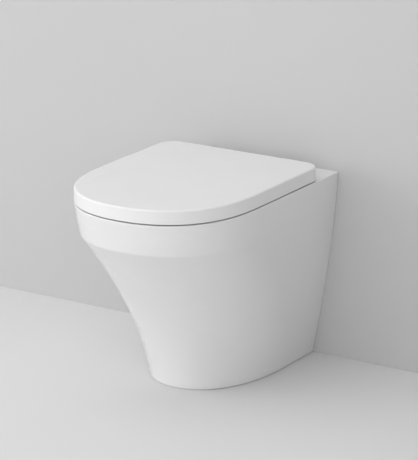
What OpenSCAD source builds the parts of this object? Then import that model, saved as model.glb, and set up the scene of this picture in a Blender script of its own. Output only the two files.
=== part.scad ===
// Back to wall toilet: a shrouded ceramic pan with a slow closing seat and a
// wrap-over lid. The wall is at +Y, the front is at -Y and the floor is z = 0.
// Each piece is drawn with the wall at y = 0 and then moved by wall_y, which
// puts the origin on the floor under the middle of the whole.

/* [Pan outside] */
// Width of the rim, and of the deck behind it
pan_width = 370; // [350:1:400]
// Height of the rim above the floor
pan_height = 400; // [390:1:450]
// Distance from the wall to the front of the rim
pan_depth = 533; // [520:1:570]
// Width of the foot where it meets the floor
foot_width = 262; // [240:1:300]
// Distance from the wall to the front of the foot
foot_depth = 335; // [325:1:370]
// Height of the upright band under the rim, down to the crease
band_height = 65; // [50:1:75]
// How far the band leans back at the front, from the rim to the crease
band_lean = 13; // [5:1:18]
// Length of the rounded front of the rim
rim_nose = 238; // [220:1:250]
// Length of the rounded front of the foot
foot_nose = 218; // [190:1:230]
// Radius of the rim's outer edge
rim_edge_r = 5; // [4:1:10]
// Thickness of the ceramic walls of the shroud
shroud_wall = 12; // [10:1:14]
// Thickness of the deck and of the top of the rim
deck_wall = 14; // [12:1:18]

/* [Bowl and trap] */
// Width of the rim between the bowl and the outside
rim_land = 49; // [44:1:55]
// Distance from the wall to the back of the bowl's mouth
bowl_back = 125; // [118:1:140]
// Thickness of the bowl's walls
bowl_wall = 10; // [8:1:12]
// Thickness of the trap's walls
trap_wall = 12; // [10:1:13]
// Radius of the rim's inner edge
mouth_edge_r = 7; // [4:1:9]
// Half the width of the water surface
water_half_w = 56; // [50:1:62]
// Half the length of the water surface
water_half_l = 56; // [50:1:60]
// Distance from the wall to the middle of the water surface
water_y = 274; // [270:1:280]
// Radius of the trap's bore
trap_r = 36; // [34:1:38]
// Depth of the water seal
seal_depth = 50; // [46:1:54]
// Radius of the trap's bends, along their middle
trap_bend_r = 60; // [56:1:64]
// Slope of the trap's rising leg
trap_slope = 70; // [65:1:75]
// Distance from the wall to the start of the trap's first bend
trap_start = 232; // [228:1:240]
// Height of the middle of the outlet above the floor
outlet_height = 180; // [175:1:190]
// Outer radius of the outlet spigot
spigot_r = 51; // [50:1:55]
// Length of the outlet spigot
spigot_length = 45; // [35:1:48]
// Distance from the wall to the end of the outlet spigot
spigot_setback = 55; // [40:1:65]

/* [Flush inlet] */
// Height of the middle of the inlet above the floor
inlet_height = 340; // [335:1:345]
// Radius of the inlet socket
inlet_r = 27.5; // [25:0.5:30]
// Depth of the inlet socket
inlet_depth = 40; // [30:1:50]
// Thickness of the inlet's wall
inlet_wall = 9; // [8:1:11]
// Distance from the wall to the mouth of the inlet
inlet_setback = 45; // [35:1:60]
// Radius of the throat between the inlet and the bowl
throat_r = 19; // [15:1:22]
// Radius of the flush pipe that the rubber seal takes
flush_pipe_r = 22; // [20:0.5:24]
// Length of the seal inside the socket
seal_length = 34; // [25:1:38]
// Length of the seal's collar, outside the socket
seal_collar = 12; // [10:1:16]
// How much wider than the socket the collar is, on the radius
seal_lip = 5; // [3:1:6]
// Length of the collar's bore that grips the flush pipe
seal_grip = 10; // [8:1:11]
// Slack round the flush pipe behind the grip, on the radius
seal_slack = 1.5; // [1:0.5:2]

/* [Floor fixing] */
// Distance between the two floor screws
floor_screw_spacing = 150; // [130:1:160]
// Radius of the hole for a floor screw
floor_screw_r = 3.5; // [3:0.25:4.5]
// Distance from the wall to the floor screws
floor_screw_y = 110; // [100:1:130]
// Thickness of the brackets
bracket_thick = 3; // [2:0.5:4]
// Width of the brackets along the wall to front direction
bracket_width = 30; // [26:1:36]
// Height of the brackets
bracket_height = 52; // [46:1:60]
// Distance from a floor screw to the upright of its bracket
bracket_reach = 22; // [18:1:26]
// Height of the side bolts above the floor
side_bolt_z = 32; // [28:1:36]
// Radius of the side bolts
side_bolt_r = 4; // [3:0.5:5]
// Length of the side bolts
side_bolt_length = 20; // [16:1:22]
// Radius of the side bolts' heads
side_head_r = 6.4; // [6:0.2:8]
// Height of the side bolts' heads
side_head_height = 4.8; // [4:0.2:6]
// Outer radius of the inserts that the side bolts screw into
insert_r = 6.5; // [6:0.5:8]
// Length of those inserts
insert_length = 22; // [18:1:24]

/* [Seat and lid] */
// Distance from the wall to the back edge of the lid
deck_strip = 67; // [65:1:75]
// Gap between the lid's skirt and the pan
lid_gap = 3; // [2:0.5:4]
// Height of the lid's side
lid_height = 28; // [26:1:30]
// Thickness of the lid's top and skirt
lid_wall = 4; // [3:0.5:5]
// Radius of the lid's top edge
lid_edge_r = 3.5; // [2:0.5:4]
// Radius of the lid's back corners, seen from above
lid_corner_r = 36; // [32:1:50]
// Gap between the seat's outside and the lid's skirt, at rest and while the lid turns
seat_clearance = 1.5; // [1:0.25:2.5]
// Thickness of the seat
seat_thick = 17; // [15:1:18]
// Height of the seat's underside above the pan
seat_lift = 5; // [4:0.5:6]
// Radius of the seat's upper edges
seat_edge_r = 5; // [3:0.5:6]
// Length of the seat's opening
seat_hole_length = 293; // [270:1:300]
// Width of the seat's opening
seat_hole_width = 230; // [210:1:240]
// Width of the seat in front of its opening
seat_front_land = 80; // [75:1:95]
// Radius of the rubber buffers under the seat
seat_buffer_r = 10; // [8:1:12]
// Distance from the rim's side to the seat's back buffers
seat_buffer_inset = 32; // [28:1:34]
// Distance from the lid's back edge to the seat's back buffers
seat_buffer_back = 145; // [130:1:170]
// Distance between the seat's front buffers
seat_buffer_spacing = 236; // [225:1:245]
// Distance from the front of the rim to the seat's front buffers
seat_buffer_front = 92; // [88:1:98]
// Radius of the rubber buffers under the lid
lid_buffer_r = 8; // [6:1:10]
// Distance between the lid's front buffers
lid_buffer_spacing = 120; // [90:1:150]
// Distance from the lid's back edge to the lid's back buffers
lid_buffer_back = 60; // [55:1:75]
// Space left between a buffer and what it rests on
rest_gap = 0.3; // [0.2:0.1:0.5]

/* [Hinges] */
// Distance between the two hinge bolts
hinge_spacing = 155; // [150:1:160]
// Distance from the lid's back edge back to the hinge axis
hinge_setback = 11; // [10:0.5:14]
// Height of the hinge axis above the base plates
hinge_rise = 16.5; // [16:0.5:17.5]
// Width of a hinge post
post_width = 16; // [14:1:20]
// Half the depth of a hinge post
post_half = 8; // [7:0.5:8]
// Radius of the hinge pins
pin_r = 3; // [2.5:0.25:3.5]
// Length of the hinge pins
pin_length = 60; // [54:1:70]
// Outer radius of the seat's and the lid's knuckles
knuckle_r = 7.5; // [7:0.25:8]
// Length of a knuckle
knuckle_length = 36; // [34:1:42]
// Wall round a knuckle's bore, and at its closed end
knuckle_wall = 2; // [1.5:0.25:2.5]
// Radius of a hinge's base plate
base_r = 20; // [16:1:22]
// Thickness of the rubber pad under a base plate
pad_thick = 1; // [1:0.1:1.2]
// Gap between a base plate and the lid's skirt above it
base_gap = 0.5; // [0.4:0.1:0.6]
// Radius of the boss on a base plate, which its post drops over
boss_r = 6.5; // [6:0.25:6.5]
// Height of that boss
boss_height = 2.9; // [2.5:0.1:3]
// Radius of the hinge bolts
bolt_r = 4; // [3:0.5:4]
// Radius of the hinge bolts' heads
bolt_head_r = 5.5; // [5:0.25:5.5]
// Height of the hinge bolts' heads
bolt_head_height = 2.5; // [2:0.1:2.5]
// Length of the hinge bolts below their heads
bolt_length = 48; // [46:1:70]
// Radius of the holes in the deck for the hinge bolts
deck_hole_r = 7; // [6.5:0.5:9]
// Length of the rubber bushes round the hinge bolts
bush_length = 30; // [26:1:34]
// Radius of the washers and across the corners of the nuts
washer_r = 11; // [9:1:13]
// Thickness of the washers
washer_thick = 1.5; // [1:0.25:2]
// Thickness of the nuts' closed lower ends
nut_cap = 2.5; // [2:0.5:4]
// Running clearance between a pin and its bearings, on the radius
pin_clearance = 0.05; // [0.03:0.01:0.1]
// Side gap between a post and a knuckle
knuckle_gap = 0.5; // [0.3:0.1:1]

/* [Release buttons] */
// Radius of the release buttons
button_r = 2.4; // [2:0.1:2.5]
// Height of the buttons above the base plates
button_rise = 5.7; // [5.5:0.1:5.9]
// Length of a button
button_length = 10; // [8:0.5:10]
// How far a button stands out of its post
button_proud = 2.5; // [2.3:0.1:3]
// Length of the spring behind a button
spring_length = 6; // [5:0.5:6]
// Thickness of the spring's coils
spring_wire = 0.8; // [0.6:0.1:1]

/* [Hidden] */

$fn = 64;
NOSE_STEPS = 14;   // facets along each half of a rounded front
CORNER_STEPS = 6;  // facets along a back corner
OVAL_STEPS = 40;   // facets round the bowl and the seat's opening
EDGE_STEPS = 4;    // facets across a rounded edge
BEND_STEPS = 5;    // facets along a bend of the trap
TRAP_SIDES = 32;   // facets round the trap
LEFT = -1;
RIGHT = 1;

wall_y = pan_depth / 2;
rim_half = pan_width / 2;
foot_half = foot_width / 2;
crease_z = pan_height - band_height;
crease_depth = pan_depth - band_lean;
cut = 1;           // how far a cutter runs past the face it cuts
part_gap = 0.05;   // gap between two pieces of one body that fit together
end_gap = 1;       // play at the ends of the pieces inside a knuckle

// Shape of the outside: the powers of the curves that the photo's outline follows
waist_power = 1.45;
flare_power = 1.65;
rim_side_power = 2.15;
rim_front_power = 2.75;
foot_side_power = 2.2;
foot_front_power = 2.2;
bowl_power = 2.2;
bowl_bulge = 2.2;
bowl_back_bulge = 1.5;

// Bowl and trap
mouth_half = rim_half - rim_land;
mouth_front = pan_depth - rim_land;
water_z = outlet_height - trap_r;
sump_z = water_z - seal_depth - trap_r;
sump_floor = sump_z - trap_r;
sump_taper = 0.6;
bowl_start = 20;   // height above the water at which the bowl's walls take over from the sump's
bend_rise = trap_bend_r * (1 - cos(trap_slope));
bend_run = trap_bend_r * sin(trap_slope);
leg_run = (outlet_height - sump_z - 2 * bend_rise) / tan(trap_slope);
crown_y = -trap_start + 2 * bend_run + leg_run;

// Stations of the trap's middle line: y, z and its slope there
trap_path = concat(
    [[-water_y, sump_z, 0]],
    [
        for (t = levels(0, trap_slope, BEND_STEPS))
            [-trap_start + trap_bend_r * sin(t), sump_z + trap_bend_r * (1 - cos(t)), t]
    ],
    [
        for (t = levels(trap_slope, 0, BEND_STEPS))
            [crown_y - trap_bend_r * sin(t), outlet_height - trap_bend_r * (1 - cos(t)), t]
    ]
);

// Seat and lid heights
lid_z = pan_height + lid_gap;
lid_top = lid_z + lid_height;
lid_under = lid_top - lid_wall;
seat_z = pan_height + seat_lift;
seat_top = seat_z + seat_thick;
seat_inset = lid_wall + seat_clearance;
seat_foot_r = 1.5;
seat_hole_front = pan_depth - seat_front_land - seat_inset;
seat_hole_back = seat_hole_front - seat_hole_length;

// Hinges
hinge_x = hinge_spacing / 2;
hinge_y = -(deck_strip - hinge_setback);
pad_top = pan_height + pad_thick;
base_top = lid_z - base_gap;
hinge_z = base_top + hinge_rise;
post_outer = hinge_x + post_width / 2;
post_inner = hinge_x - post_width / 2;
knuckle_bore_r = knuckle_r - knuckle_wall;
knuckle_bore_length = knuckle_length - knuckle_wall;
damper_r = knuckle_bore_r - part_gap;
damper_length = knuckle_bore_length - end_gap;
bearing_length = (pin_length - post_width) / 2 + end_gap;
seat_knuckle_x = post_outer + knuckle_gap;
lid_knuckle_x = post_inner - knuckle_gap;
// The lid's skirt turns about the hinge axis, so the seat's back edge stays out of its sweep
skirt_sweep = norm([hinge_setback + lid_wall, hinge_z - lid_z]);
seat_back = deck_strip - hinge_setback + skirt_sweep + seat_clearance;
seat_arm_top = 2;   // how far the seat's arms rise above the hinge axis
seat_arm_root = 4;  // how far the seat's arms run into the seat
seat_arm_reach = seat_back - deck_strip + hinge_setback + seat_arm_root;
arm_gap = 1.2;      // clearance of the seat's arms in the notches of the lid's skirt
pad_inset = 0.5;    // how far the base plates stand out past their pads
bolt_end = base_top - bolt_length;
nut_top = pan_height - bush_length - washer_thick;
button_z = base_top + button_rise;
button_inner = post_outer + button_proud - button_length;
spring_inner = button_inner - spring_length;

// Floor fixing
upright_x = floor_screw_spacing / 2 + bracket_reach;
lug_x = upright_x + bracket_thick;
lug_depth = 38;
lug_floor = 12;

// ---------------------------------------------------------------- outlines

function lerp(a, b, t) = a + (b - a) * t;

function mirrored(points) = [for (i = [len(points) - 1:-1:0]) [-points[i][0], points[i][1]]];

function raised(points, z) = [for (p = points) [p[0], p[1], z]];

// Right half of a rounded front, from the straight side to the middle
function nose(half, front, length, side_power, front_power) = [
    for (i = [0:NOSE_STEPS])
        let (t = 90 * i / NOSE_STEPS)
        [half * pow(cos(t), 2 / side_power), -(front - length) - length * pow(sin(t), 2 / front_power)]
];

// Right back corner, from the back edge round to the side
function corner(half, back, r) = [
    for (i = [0:CORNER_STEPS])
        let (t = 90 - 90 * i / CORNER_STEPS)
        [half - r + r * cos(t), -(back + r) + r * sin(t)]
];

// Whole outline from its right half: the middle point is not repeated
function whole(half) = concat(half, mirrored([for (i = [0:len(half) - 2]) half[i]]));

// Outline with rounded back corners, drawn in from the edge of the rim
function cover_outline(back, inset) = whole(concat(
    corner(rim_half - inset, back, lid_corner_r - inset),
    nose(rim_half - inset, pan_depth - inset, rim_nose, rim_side_power, rim_front_power)
));

function lid_outline(inset) = cover_outline(deck_strip + inset, inset);

// Seat outline, drawn in by edge from the seat's own side
function seat_outline(edge) = cover_outline(seat_back + edge, seat_inset + edge);

// Half width of the pan at a height
function side_at(z) = foot_half + (rim_half - foot_half) * (1 - pow(1 - z / pan_height, waist_power));

// Front of the pan at a height: the band above the crease, the flare below it
function front_at(z) = z >= crease_z
    ? pan_depth - band_lean * (pan_height - z) / band_height
    : foot_depth + (crease_depth - foot_depth) * pow(max(z, 0) / crease_z, flare_power);

// Outline of the pan at a height, drawn in by inset, with its back at y = back
function pan_outline(z, inset, back) =
    let (t = 1 - z / pan_height, half = side_at(z) - inset)
    whole(concat([[half, back]], nose(
        half, front_at(z) - inset, lerp(rim_nose, foot_nose, t),
        lerp(rim_side_power, foot_side_power, t), lerp(rim_front_power, foot_front_power, t)
    )));

function signed_pow(v, power) = sign(v) * pow(abs(v), power);

// Closed oval between a front and a back, clockwise seen from above
function oval(half, front, back) = [
    for (i = [0:OVAL_STEPS - 1])
        let (t = -360 * i / OVAL_STEPS)
        [
            half * signed_pow(cos(t), 2 / bowl_power),
            -(front + back) / 2 + (front - back) / 2 * signed_pow(sin(t), 2 / bowl_power)
        ]
];

// Bowl above the water: grow is 0 at the glazed surface
function bowl_ring(z, grow) =
    let (u = (z - water_z) / (pan_height - water_z))
    let (f = 1 - pow(1 - u, bowl_bulge), b = 1 - pow(1 - u, bowl_back_bulge))
    raised(oval(
        lerp(water_half_w, mouth_half, f) + grow,
        lerp(water_y + water_half_l, mouth_front, f) + grow,
        lerp(water_y - water_half_l, bowl_back, b) - grow
    ), z);

// Sump below the water, which closes in towards its floor
function sump_ring(z, grow) =
    let (s = 1 - sump_taper * pow((water_z - z) / (water_z - sump_floor), bowl_power))
    raised(oval(
        water_half_w * s + grow,
        water_y + water_half_l * s + grow,
        water_y - water_half_l * s - grow
    ), z);

// Heights from low to high in even steps, both ends among them
function levels(low, high, steps) = [for (i = [0:steps]) lerp(low, high, i / steps)];

// Pairs of [inset, height] across a rounded upper edge
function edge_steps(top, r) = [
    for (i = [0:EDGE_STEPS])
        let (t = 90 * i / EDGE_STEPS)
        [r * (1 - cos(t)), top - r * (1 - sin(t))]
];

// ------------------------------------------------------------------ solids

// Skin through rings of equally many points, closed at both ends
module loft(rings) {
    n = len(rings[0]);
    m = len(rings);
    sides = [
        for (k = [0:m - 2], i = [0:n - 1])
            let (a = k * n + i, b = k * n + (i + 1) % n)
            each [[a, b, b + n], [a, b + n, a + n]]
    ];
    low = [for (i = [n - 1:-1:0]) i];
    high = [for (i = [0:n - 1]) (m - 1) * n + i];
    polyhedron([for (ring = rings) each ring], concat(sides, [low, high]), convexity = 6);
}

module at_wall() {
    translate([0, wall_y, 0]) children();
}

// Plane of the side view: x becomes y, y becomes z, and height runs along +X
module side_view() {
    rotate([90, 0, 90]) children();
}

// Cylinder along +X from x = from, on the line through y and z
module rod_x(from, length, r, y, z) {
    translate([from, y, z]) rotate([0, 90, 0]) cylinder(r = r, h = length);
}

// Cylinder along -Y from y = from, on the line through x = 0 and z
module rod_y(from, length, r, z) {
    translate([0, from, z]) rotate([90, 0, 0]) cylinder(r = r, h = length);
}

// Flips a piece that is drawn on the right to the side wanted
module on_side(side) {
    if (side == LEFT) {
        mirror([1, 0, 0]) children();
    } else {
        children();
    }
}

module both_sides() {
    for (side = [LEFT, RIGHT]) {
        on_side(side) children();
    }
}

// --------------------------------------------------------------------- pan

module pan_outside() {
    rings = concat(
        [for (z = levels(0, crease_z, 12)) raised(pan_outline(z, 0, 0), z)],
        [raised(pan_outline(crease_z + band_height / 2, 0, 0), crease_z + band_height / 2)],
        [for (e = edge_steps(pan_height, rim_edge_r)) raised(pan_outline(e[1], e[0], 0), e[1])]
    );
    loft(rings);
}

// Space inside the shroud, open at the floor and at the wall
module shroud_space() {
    under_deck = pan_height - deck_wall;
    below = raised(pan_outline(0, shroud_wall, cut), -cut);
    loft(concat([below], [
        for (z = levels(0, under_deck, 9)) raised(pan_outline(z, shroud_wall, cut), z)
    ]));
}

module bowl_outside() {
    loft(concat(
        [raised(sump_ring(sump_floor, bowl_wall), sump_floor - bowl_wall)],
        [for (z = levels(sump_floor, water_z, 4)) if (z > sump_floor) sump_ring(z, bowl_wall)],
        [for (z = levels(water_z + bowl_start, pan_height - rim_edge_r, 7)) bowl_ring(z, bowl_wall)]
    ));
}

module bowl_inside() {
    mouth = edge_steps(pan_height, mouth_edge_r);
    loft(concat(
        [for (z = levels(sump_floor, water_z, 5)) sump_ring(z, 0)],
        [for (z = levels(water_z + bowl_start, pan_height - 2 * mouth_edge_r, 8)) bowl_ring(z, 0)],
        [for (e = mouth) raised(bowl_ring(e[1], e[0]), e[1])],
        [raised(bowl_ring(pan_height, mouth_edge_r), pan_height + cut)]
    ));
}

// Ring of radius r square to the trap's middle line at a station
function trap_ring(station, r) = [
    for (i = [0:TRAP_SIDES - 1])
        let (a = 360 * i / TRAP_SIDES)
        [
            r * cos(a),
            station[0] - r * sin(a) * sin(station[2]),
            station[1] + r * sin(a) * cos(station[2])
        ]
];

// The trap as a tube of radius r, from the sump to y = end
module trap_way(r, end) {
    loft(concat(
        [for (station = trap_path) trap_ring(station, r)],
        [trap_ring([end, outlet_height, 0], r)]
    ));
}

module trap_outside() {
    trap_way(trap_r + trap_wall, crown_y + spigot_length / 2);
    rod_y(-spigot_setback, spigot_length, spigot_r, outlet_height);
}

module trap_inside() {
    trap_way(trap_r, cut - spigot_setback);
}

module inlet_outside() {
    rod_y(-inlet_setback, bowl_back - inlet_setback + bowl_wall, inlet_r + inlet_wall, inlet_height);
}

module inlet_inside() {
    rod_y(-inlet_setback + cut, inlet_depth + cut, inlet_r, inlet_height);
    rod_y(-inlet_setback, bowl_back - inlet_setback + 3 * bowl_wall, throat_r, inlet_height);
}

// Holes through the deck for the hinge bolts, and in the lugs for the inserts
module fixing_holes() {
    both_sides() {
        translate([hinge_x, hinge_y, pan_height - deck_wall - cut])
            cylinder(r = deck_hole_r, h = deck_wall + 2 * cut);
        rod_x(lug_x - cut, insert_length + cut, insert_r + part_gap, -floor_screw_y, side_bolt_z);
    }
}

// Blocks inside the shroud's sides that the floor brackets are bolted to
module bracket_lugs() {
    both_sides() {
        translate([lug_x, -floor_screw_y - bracket_width / 2, lug_floor])
            cube([foot_half, bracket_width, lug_depth]);
    }
}

module pan() {
    color([0.95, 0.95, 0.94])
    at_wall() {
        difference() {
            pan_outside();
            difference() {
                shroud_space();
                bowl_outside();
                trap_outside();
                inlet_outside();
                bracket_lugs();
            }
            bowl_inside();
            trap_inside();
            inlet_inside();
            fixing_holes();
        }
    }
}

// Rubber seal pushed into the inlet socket: its collar grips the flush pipe
module inlet_seal() {
    mouth_y = -inlet_setback + seal_collar;
    color([0.13, 0.13, 0.13])
    at_wall() {
        difference() {
            union() {
                rod_y(-inlet_setback, seal_length, inlet_r - part_gap, inlet_height);
                rod_y(mouth_y, seal_collar, inlet_r + seal_lip, inlet_height);
            }
            rod_y(mouth_y + cut, seal_grip + 2 * cut, flush_pipe_r, inlet_height);
            rod_y(mouth_y - seal_grip, seal_length + seal_collar, flush_pipe_r + seal_slack, inlet_height);
        }
    }
}

// ------------------------------------------------------------ floor fixing

// Angle with a floor leg, which takes a floor screw, and an upright for the side bolt
module floor_bracket(side) {
    color([0.72, 0.73, 0.75])
    at_wall() on_side(side) translate([0, -floor_screw_y, 0]) {
        difference() {
            translate([upright_x - 2 * bracket_reach, -bracket_width / 2, 0])
                cube([2 * bracket_reach + bracket_thick, bracket_width, bracket_thick]);
            translate([floor_screw_spacing / 2, 0, -cut])
                cylinder(r = floor_screw_r, h = bracket_thick + 2 * cut);
        }
        difference() {
            translate([upright_x, -bracket_width / 2, 0])
                cube([bracket_thick, bracket_width, bracket_height]);
            rod_x(upright_x - cut, bracket_thick + 2 * cut, side_bolt_r + part_gap, 0, side_bolt_z);
        }
    }
}

module bracket_bolts() {
    color([0.72, 0.73, 0.75])
    at_wall() both_sides() {
        rod_x(upright_x, side_bolt_length, side_bolt_r, -floor_screw_y, side_bolt_z);
        rod_x(upright_x - side_head_height, side_head_height, side_head_r, -floor_screw_y, side_bolt_z);
    }
}

module bracket_inserts() {
    color([0.9, 0.9, 0.88])
    at_wall() both_sides() {
        difference() {
            rod_x(lug_x, insert_length, insert_r, -floor_screw_y, side_bolt_z);
            rod_x(lug_x - cut, side_bolt_length + cut, side_bolt_r + part_gap, -floor_screw_y, side_bolt_z);
        }
    }
}

// ------------------------------------------------------------------ hinges

// Rubber pads between the deck and the base plates
module hinge_pads() {
    color([0.16, 0.16, 0.16])
    at_wall() both_sides() bolt_ring(base_r - pad_inset, pan_height, pad_thick);
}

// Base plate on its pad, with the boss that its post drops over
module hinge_base(side) {
    color([0.8, 0.81, 0.83])
    at_wall() on_side(side) translate([hinge_x, hinge_y, 0]) {
        difference() {
            union() {
                translate([0, 0, pad_top]) cylinder(r = base_r, h = base_top - pad_top);
                translate([0, 0, base_top]) cylinder(r = boss_r, h = boss_height);
            }
            translate([0, 0, pan_height]) cylinder(r = bolt_r + part_gap, h = base_top - pan_height + cut);
            translate([0, 0, base_top]) cylinder(r = bolt_head_r + part_gap, h = boss_height + cut);
        }
    }
}

// Upright with a round head, which holds the hinge pin and the release button
module hinge_post(side) {
    color([0.8, 0.81, 0.83])
    at_wall() on_side(side) {
        difference() {
            translate([post_inner, 0, 0]) side_view() linear_extrude(height = post_width) {
                translate([hinge_y - post_half, base_top]) square([2 * post_half, hinge_z - base_top]);
                translate([hinge_y, hinge_z]) circle(r = post_half);
            }
            rod_x(post_inner - cut, post_width + 2 * cut, pin_r + part_gap, hinge_y, hinge_z);
            translate([hinge_x, hinge_y, base_top - cut])
                cylinder(r = boss_r + part_gap, h = boss_height + part_gap + cut);
            rod_x(spring_inner, post_outer - spring_inner + cut, button_r + part_gap, hinge_y, button_z);
        }
    }
}

module hinge_pin(side) {
    color([0.6, 0.61, 0.63])
    at_wall() on_side(side) rod_x(hinge_x - pin_length / 2, pin_length, pin_r, hinge_y, hinge_z);
}

module hinge_bolts() {
    color([0.72, 0.73, 0.75])
    at_wall() both_sides() translate([hinge_x, hinge_y, 0]) {
        translate([0, 0, bolt_end]) cylinder(r = bolt_r, h = bolt_length);
        translate([0, 0, base_top]) cylinder(r = bolt_head_r, h = bolt_head_height);
    }
}

// Ring round a hinge bolt, from z up
module bolt_ring(r, z, height) {
    translate([hinge_x, hinge_y, z]) difference() {
        cylinder(r = r, h = height);
        translate([0, 0, -cut]) cylinder(r = bolt_r + part_gap, h = height + 2 * cut);
    }
}

module hinge_bushes() {
    color([0.16, 0.16, 0.16])
    at_wall() both_sides() bolt_ring(deck_hole_r - part_gap, pan_height - bush_length, bush_length);
}

module hinge_washers() {
    color([0.72, 0.73, 0.75])
    at_wall() both_sides() bolt_ring(washer_r, nut_top, washer_thick);
}

// Long nuts, closed below, which cover the ends of the bolts
module hinge_nuts() {
    bore_z = bolt_end - end_gap;
    color([0.9, 0.9, 0.88])
    at_wall() both_sides() translate([hinge_x, hinge_y, 0]) difference() {
        translate([0, 0, bore_z - nut_cap])
            cylinder(r = washer_r, h = nut_top - bore_z + nut_cap, $fn = 6);
        translate([0, 0, bore_z]) cylinder(r = bolt_r + part_gap, h = nut_top - bore_z + cut);
    }
}

module release_button(side) {
    color([0.85, 0.86, 0.88])
    at_wall() on_side(side) rod_x(button_inner, button_length, button_r, hinge_y, button_z);
}

module release_spring(side) {
    color([0.6, 0.61, 0.63])
    at_wall() on_side(side) difference() {
        rod_x(spring_inner, spring_length, button_r - part_gap, hinge_y, button_z);
        rod_x(spring_inner - cut, spring_length + 2 * cut, button_r - spring_wire, hinge_y, button_z);
    }
}

// Barrel round the hinge axis with an arm that reaches forward from it
module knuckle(from, arm_reach, arm_top) {
    translate([from, 0, 0]) side_view() linear_extrude(height = knuckle_length) {
        translate([hinge_y, hinge_z]) circle(r = knuckle_r);
        translate([hinge_y - arm_reach, hinge_z - knuckle_r]) square([arm_reach, knuckle_r + arm_top]);
    }
}

// Bore of a knuckle, open towards its post: toward is 1 outward, -1 inward
module knuckle_bore(face, toward) {
    from = toward > 0 ? face - cut : face - knuckle_bore_length;
    rod_x(from, knuckle_bore_length + cut, knuckle_bore_r, hinge_y, hinge_z);
}

// Cylinder in a knuckle, with a blind hole of the given depth for the pin
module pin_barrel(face, toward, length, hole) {
    from = toward > 0 ? face + part_gap : face - part_gap - length;
    hole_from = toward > 0 ? from - cut : from + length - hole;
    difference() {
        rod_x(from, length, damper_r, hinge_y, hinge_z);
        rod_x(hole_from, hole + cut, pin_r + pin_clearance, hinge_y, hinge_z);
    }
}

// -------------------------------------------------------------------- seat

// Outline of the seat's opening, widened by grow
function hole_ring(grow, z) =
    raised(oval(seat_hole_width / 2 + grow, seat_hole_front + grow, seat_hole_back - grow), z);

// Seat without its opening: the lower edge has a small radius, the upper edge a large one
module seat_board() {
    loft(concat(
        [raised(seat_outline(seat_foot_r), seat_z)],
        [raised(seat_outline(0), seat_z + seat_foot_r)],
        [for (e = edge_steps(seat_top, seat_edge_r)) raised(seat_outline(e[0]), e[1])]
    ));
}

// Opening of the seat, which widens towards both faces
module seat_opening() {
    loft(concat(
        [hole_ring(seat_foot_r, seat_z - cut)],
        [hole_ring(seat_foot_r, seat_z)],
        [hole_ring(0, seat_z + seat_foot_r)],
        [for (e = edge_steps(seat_top, seat_edge_r)) hole_ring(e[0], e[1])],
        [hole_ring(seat_edge_r, seat_top + cut)]
    ));
}

module seat_ring() {
    color([0.95, 0.95, 0.95])
    at_wall() {
        difference() {
            union() {
                seat_board();
                both_sides() knuckle(seat_knuckle_x, seat_arm_reach, seat_arm_top);
            }
            seat_opening();
            both_sides() knuckle_bore(seat_knuckle_x, 1);
        }
    }
}

// Rubber buffers between the seat and the rim
module seat_buffers() {
    back = [rim_half - seat_buffer_inset, -(deck_strip + seat_buffer_back)];
    front = [seat_buffer_spacing / 2, -(pan_depth - seat_buffer_front)];
    color([0.82, 0.82, 0.82])
    at_wall() both_sides() {
        for (p = [back, front]) {
            translate([p[0], p[1], pan_height + rest_gap])
                cylinder(r = seat_buffer_r, h = seat_lift - rest_gap);
        }
    }
}

// Slow closing damper of the seat, in its right knuckle
module seat_damper() {
    color([0.35, 0.36, 0.38])
    at_wall() pin_barrel(seat_knuckle_x, 1, damper_length, bearing_length);
}

// Plain bearing of the seat, in its left knuckle
module seat_bearing() {
    color([0.88, 0.88, 0.86])
    at_wall() on_side(LEFT) pin_barrel(seat_knuckle_x, 1, bearing_length, bearing_length + cut);
}

// --------------------------------------------------------------------- lid

// Top and skirt of the lid
module lid_shell() {
    difference() {
        loft(concat(
            [raised(lid_outline(0), lid_z)],
            [for (e = edge_steps(lid_top, lid_edge_r)) raised(lid_outline(e[0]), e[1])]
        ));
        loft([
            raised(lid_outline(lid_wall), lid_z - cut),
            raised(lid_outline(lid_wall), lid_under)
        ]);
    }
}

// Notch in the back of the skirt, which the seat's arm passes through
module arm_notch() {
    notch_top = hinge_z + seat_arm_top + arm_gap;
    translate([seat_knuckle_x - arm_gap, -deck_strip - lid_wall - cut, lid_z - cut])
        cube([knuckle_length + 2 * arm_gap, lid_wall + 2 * cut, notch_top - lid_z + cut]);
}

module lid_cover() {
    color([0.95, 0.95, 0.95])
    at_wall() {
        difference() {
            union() {
                lid_shell();
                both_sides() knuckle(lid_knuckle_x - knuckle_length, hinge_setback + lid_wall / 2, knuckle_r);
            }
            both_sides() {
                knuckle_bore(lid_knuckle_x, -1);
                arm_notch();
            }
        }
    }
}

// Rubber buffers between the lid and the seat
module lid_buffers() {
    front = [lid_buffer_spacing / 2, -(pan_depth - seat_inset - seat_front_land / 2)];
    back = [(seat_hole_width / 2 + rim_half - seat_inset) / 2, -(deck_strip + lid_buffer_back)];
    color([0.82, 0.82, 0.82])
    at_wall() both_sides() {
        for (p = [front, back]) {
            translate([p[0], p[1], seat_top + rest_gap])
                cylinder(r = lid_buffer_r, h = lid_under - seat_top - rest_gap);
        }
    }
}

// Slow closing damper of the lid, in its left knuckle
module lid_damper() {
    color([0.35, 0.36, 0.38])
    at_wall() on_side(LEFT) pin_barrel(lid_knuckle_x, -1, damper_length, bearing_length);
}

// Plain bearing of the lid, in its right knuckle
module lid_bearing() {
    color([0.88, 0.88, 0.86])
    at_wall() pin_barrel(lid_knuckle_x, -1, bearing_length, bearing_length + cut);
}

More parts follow.
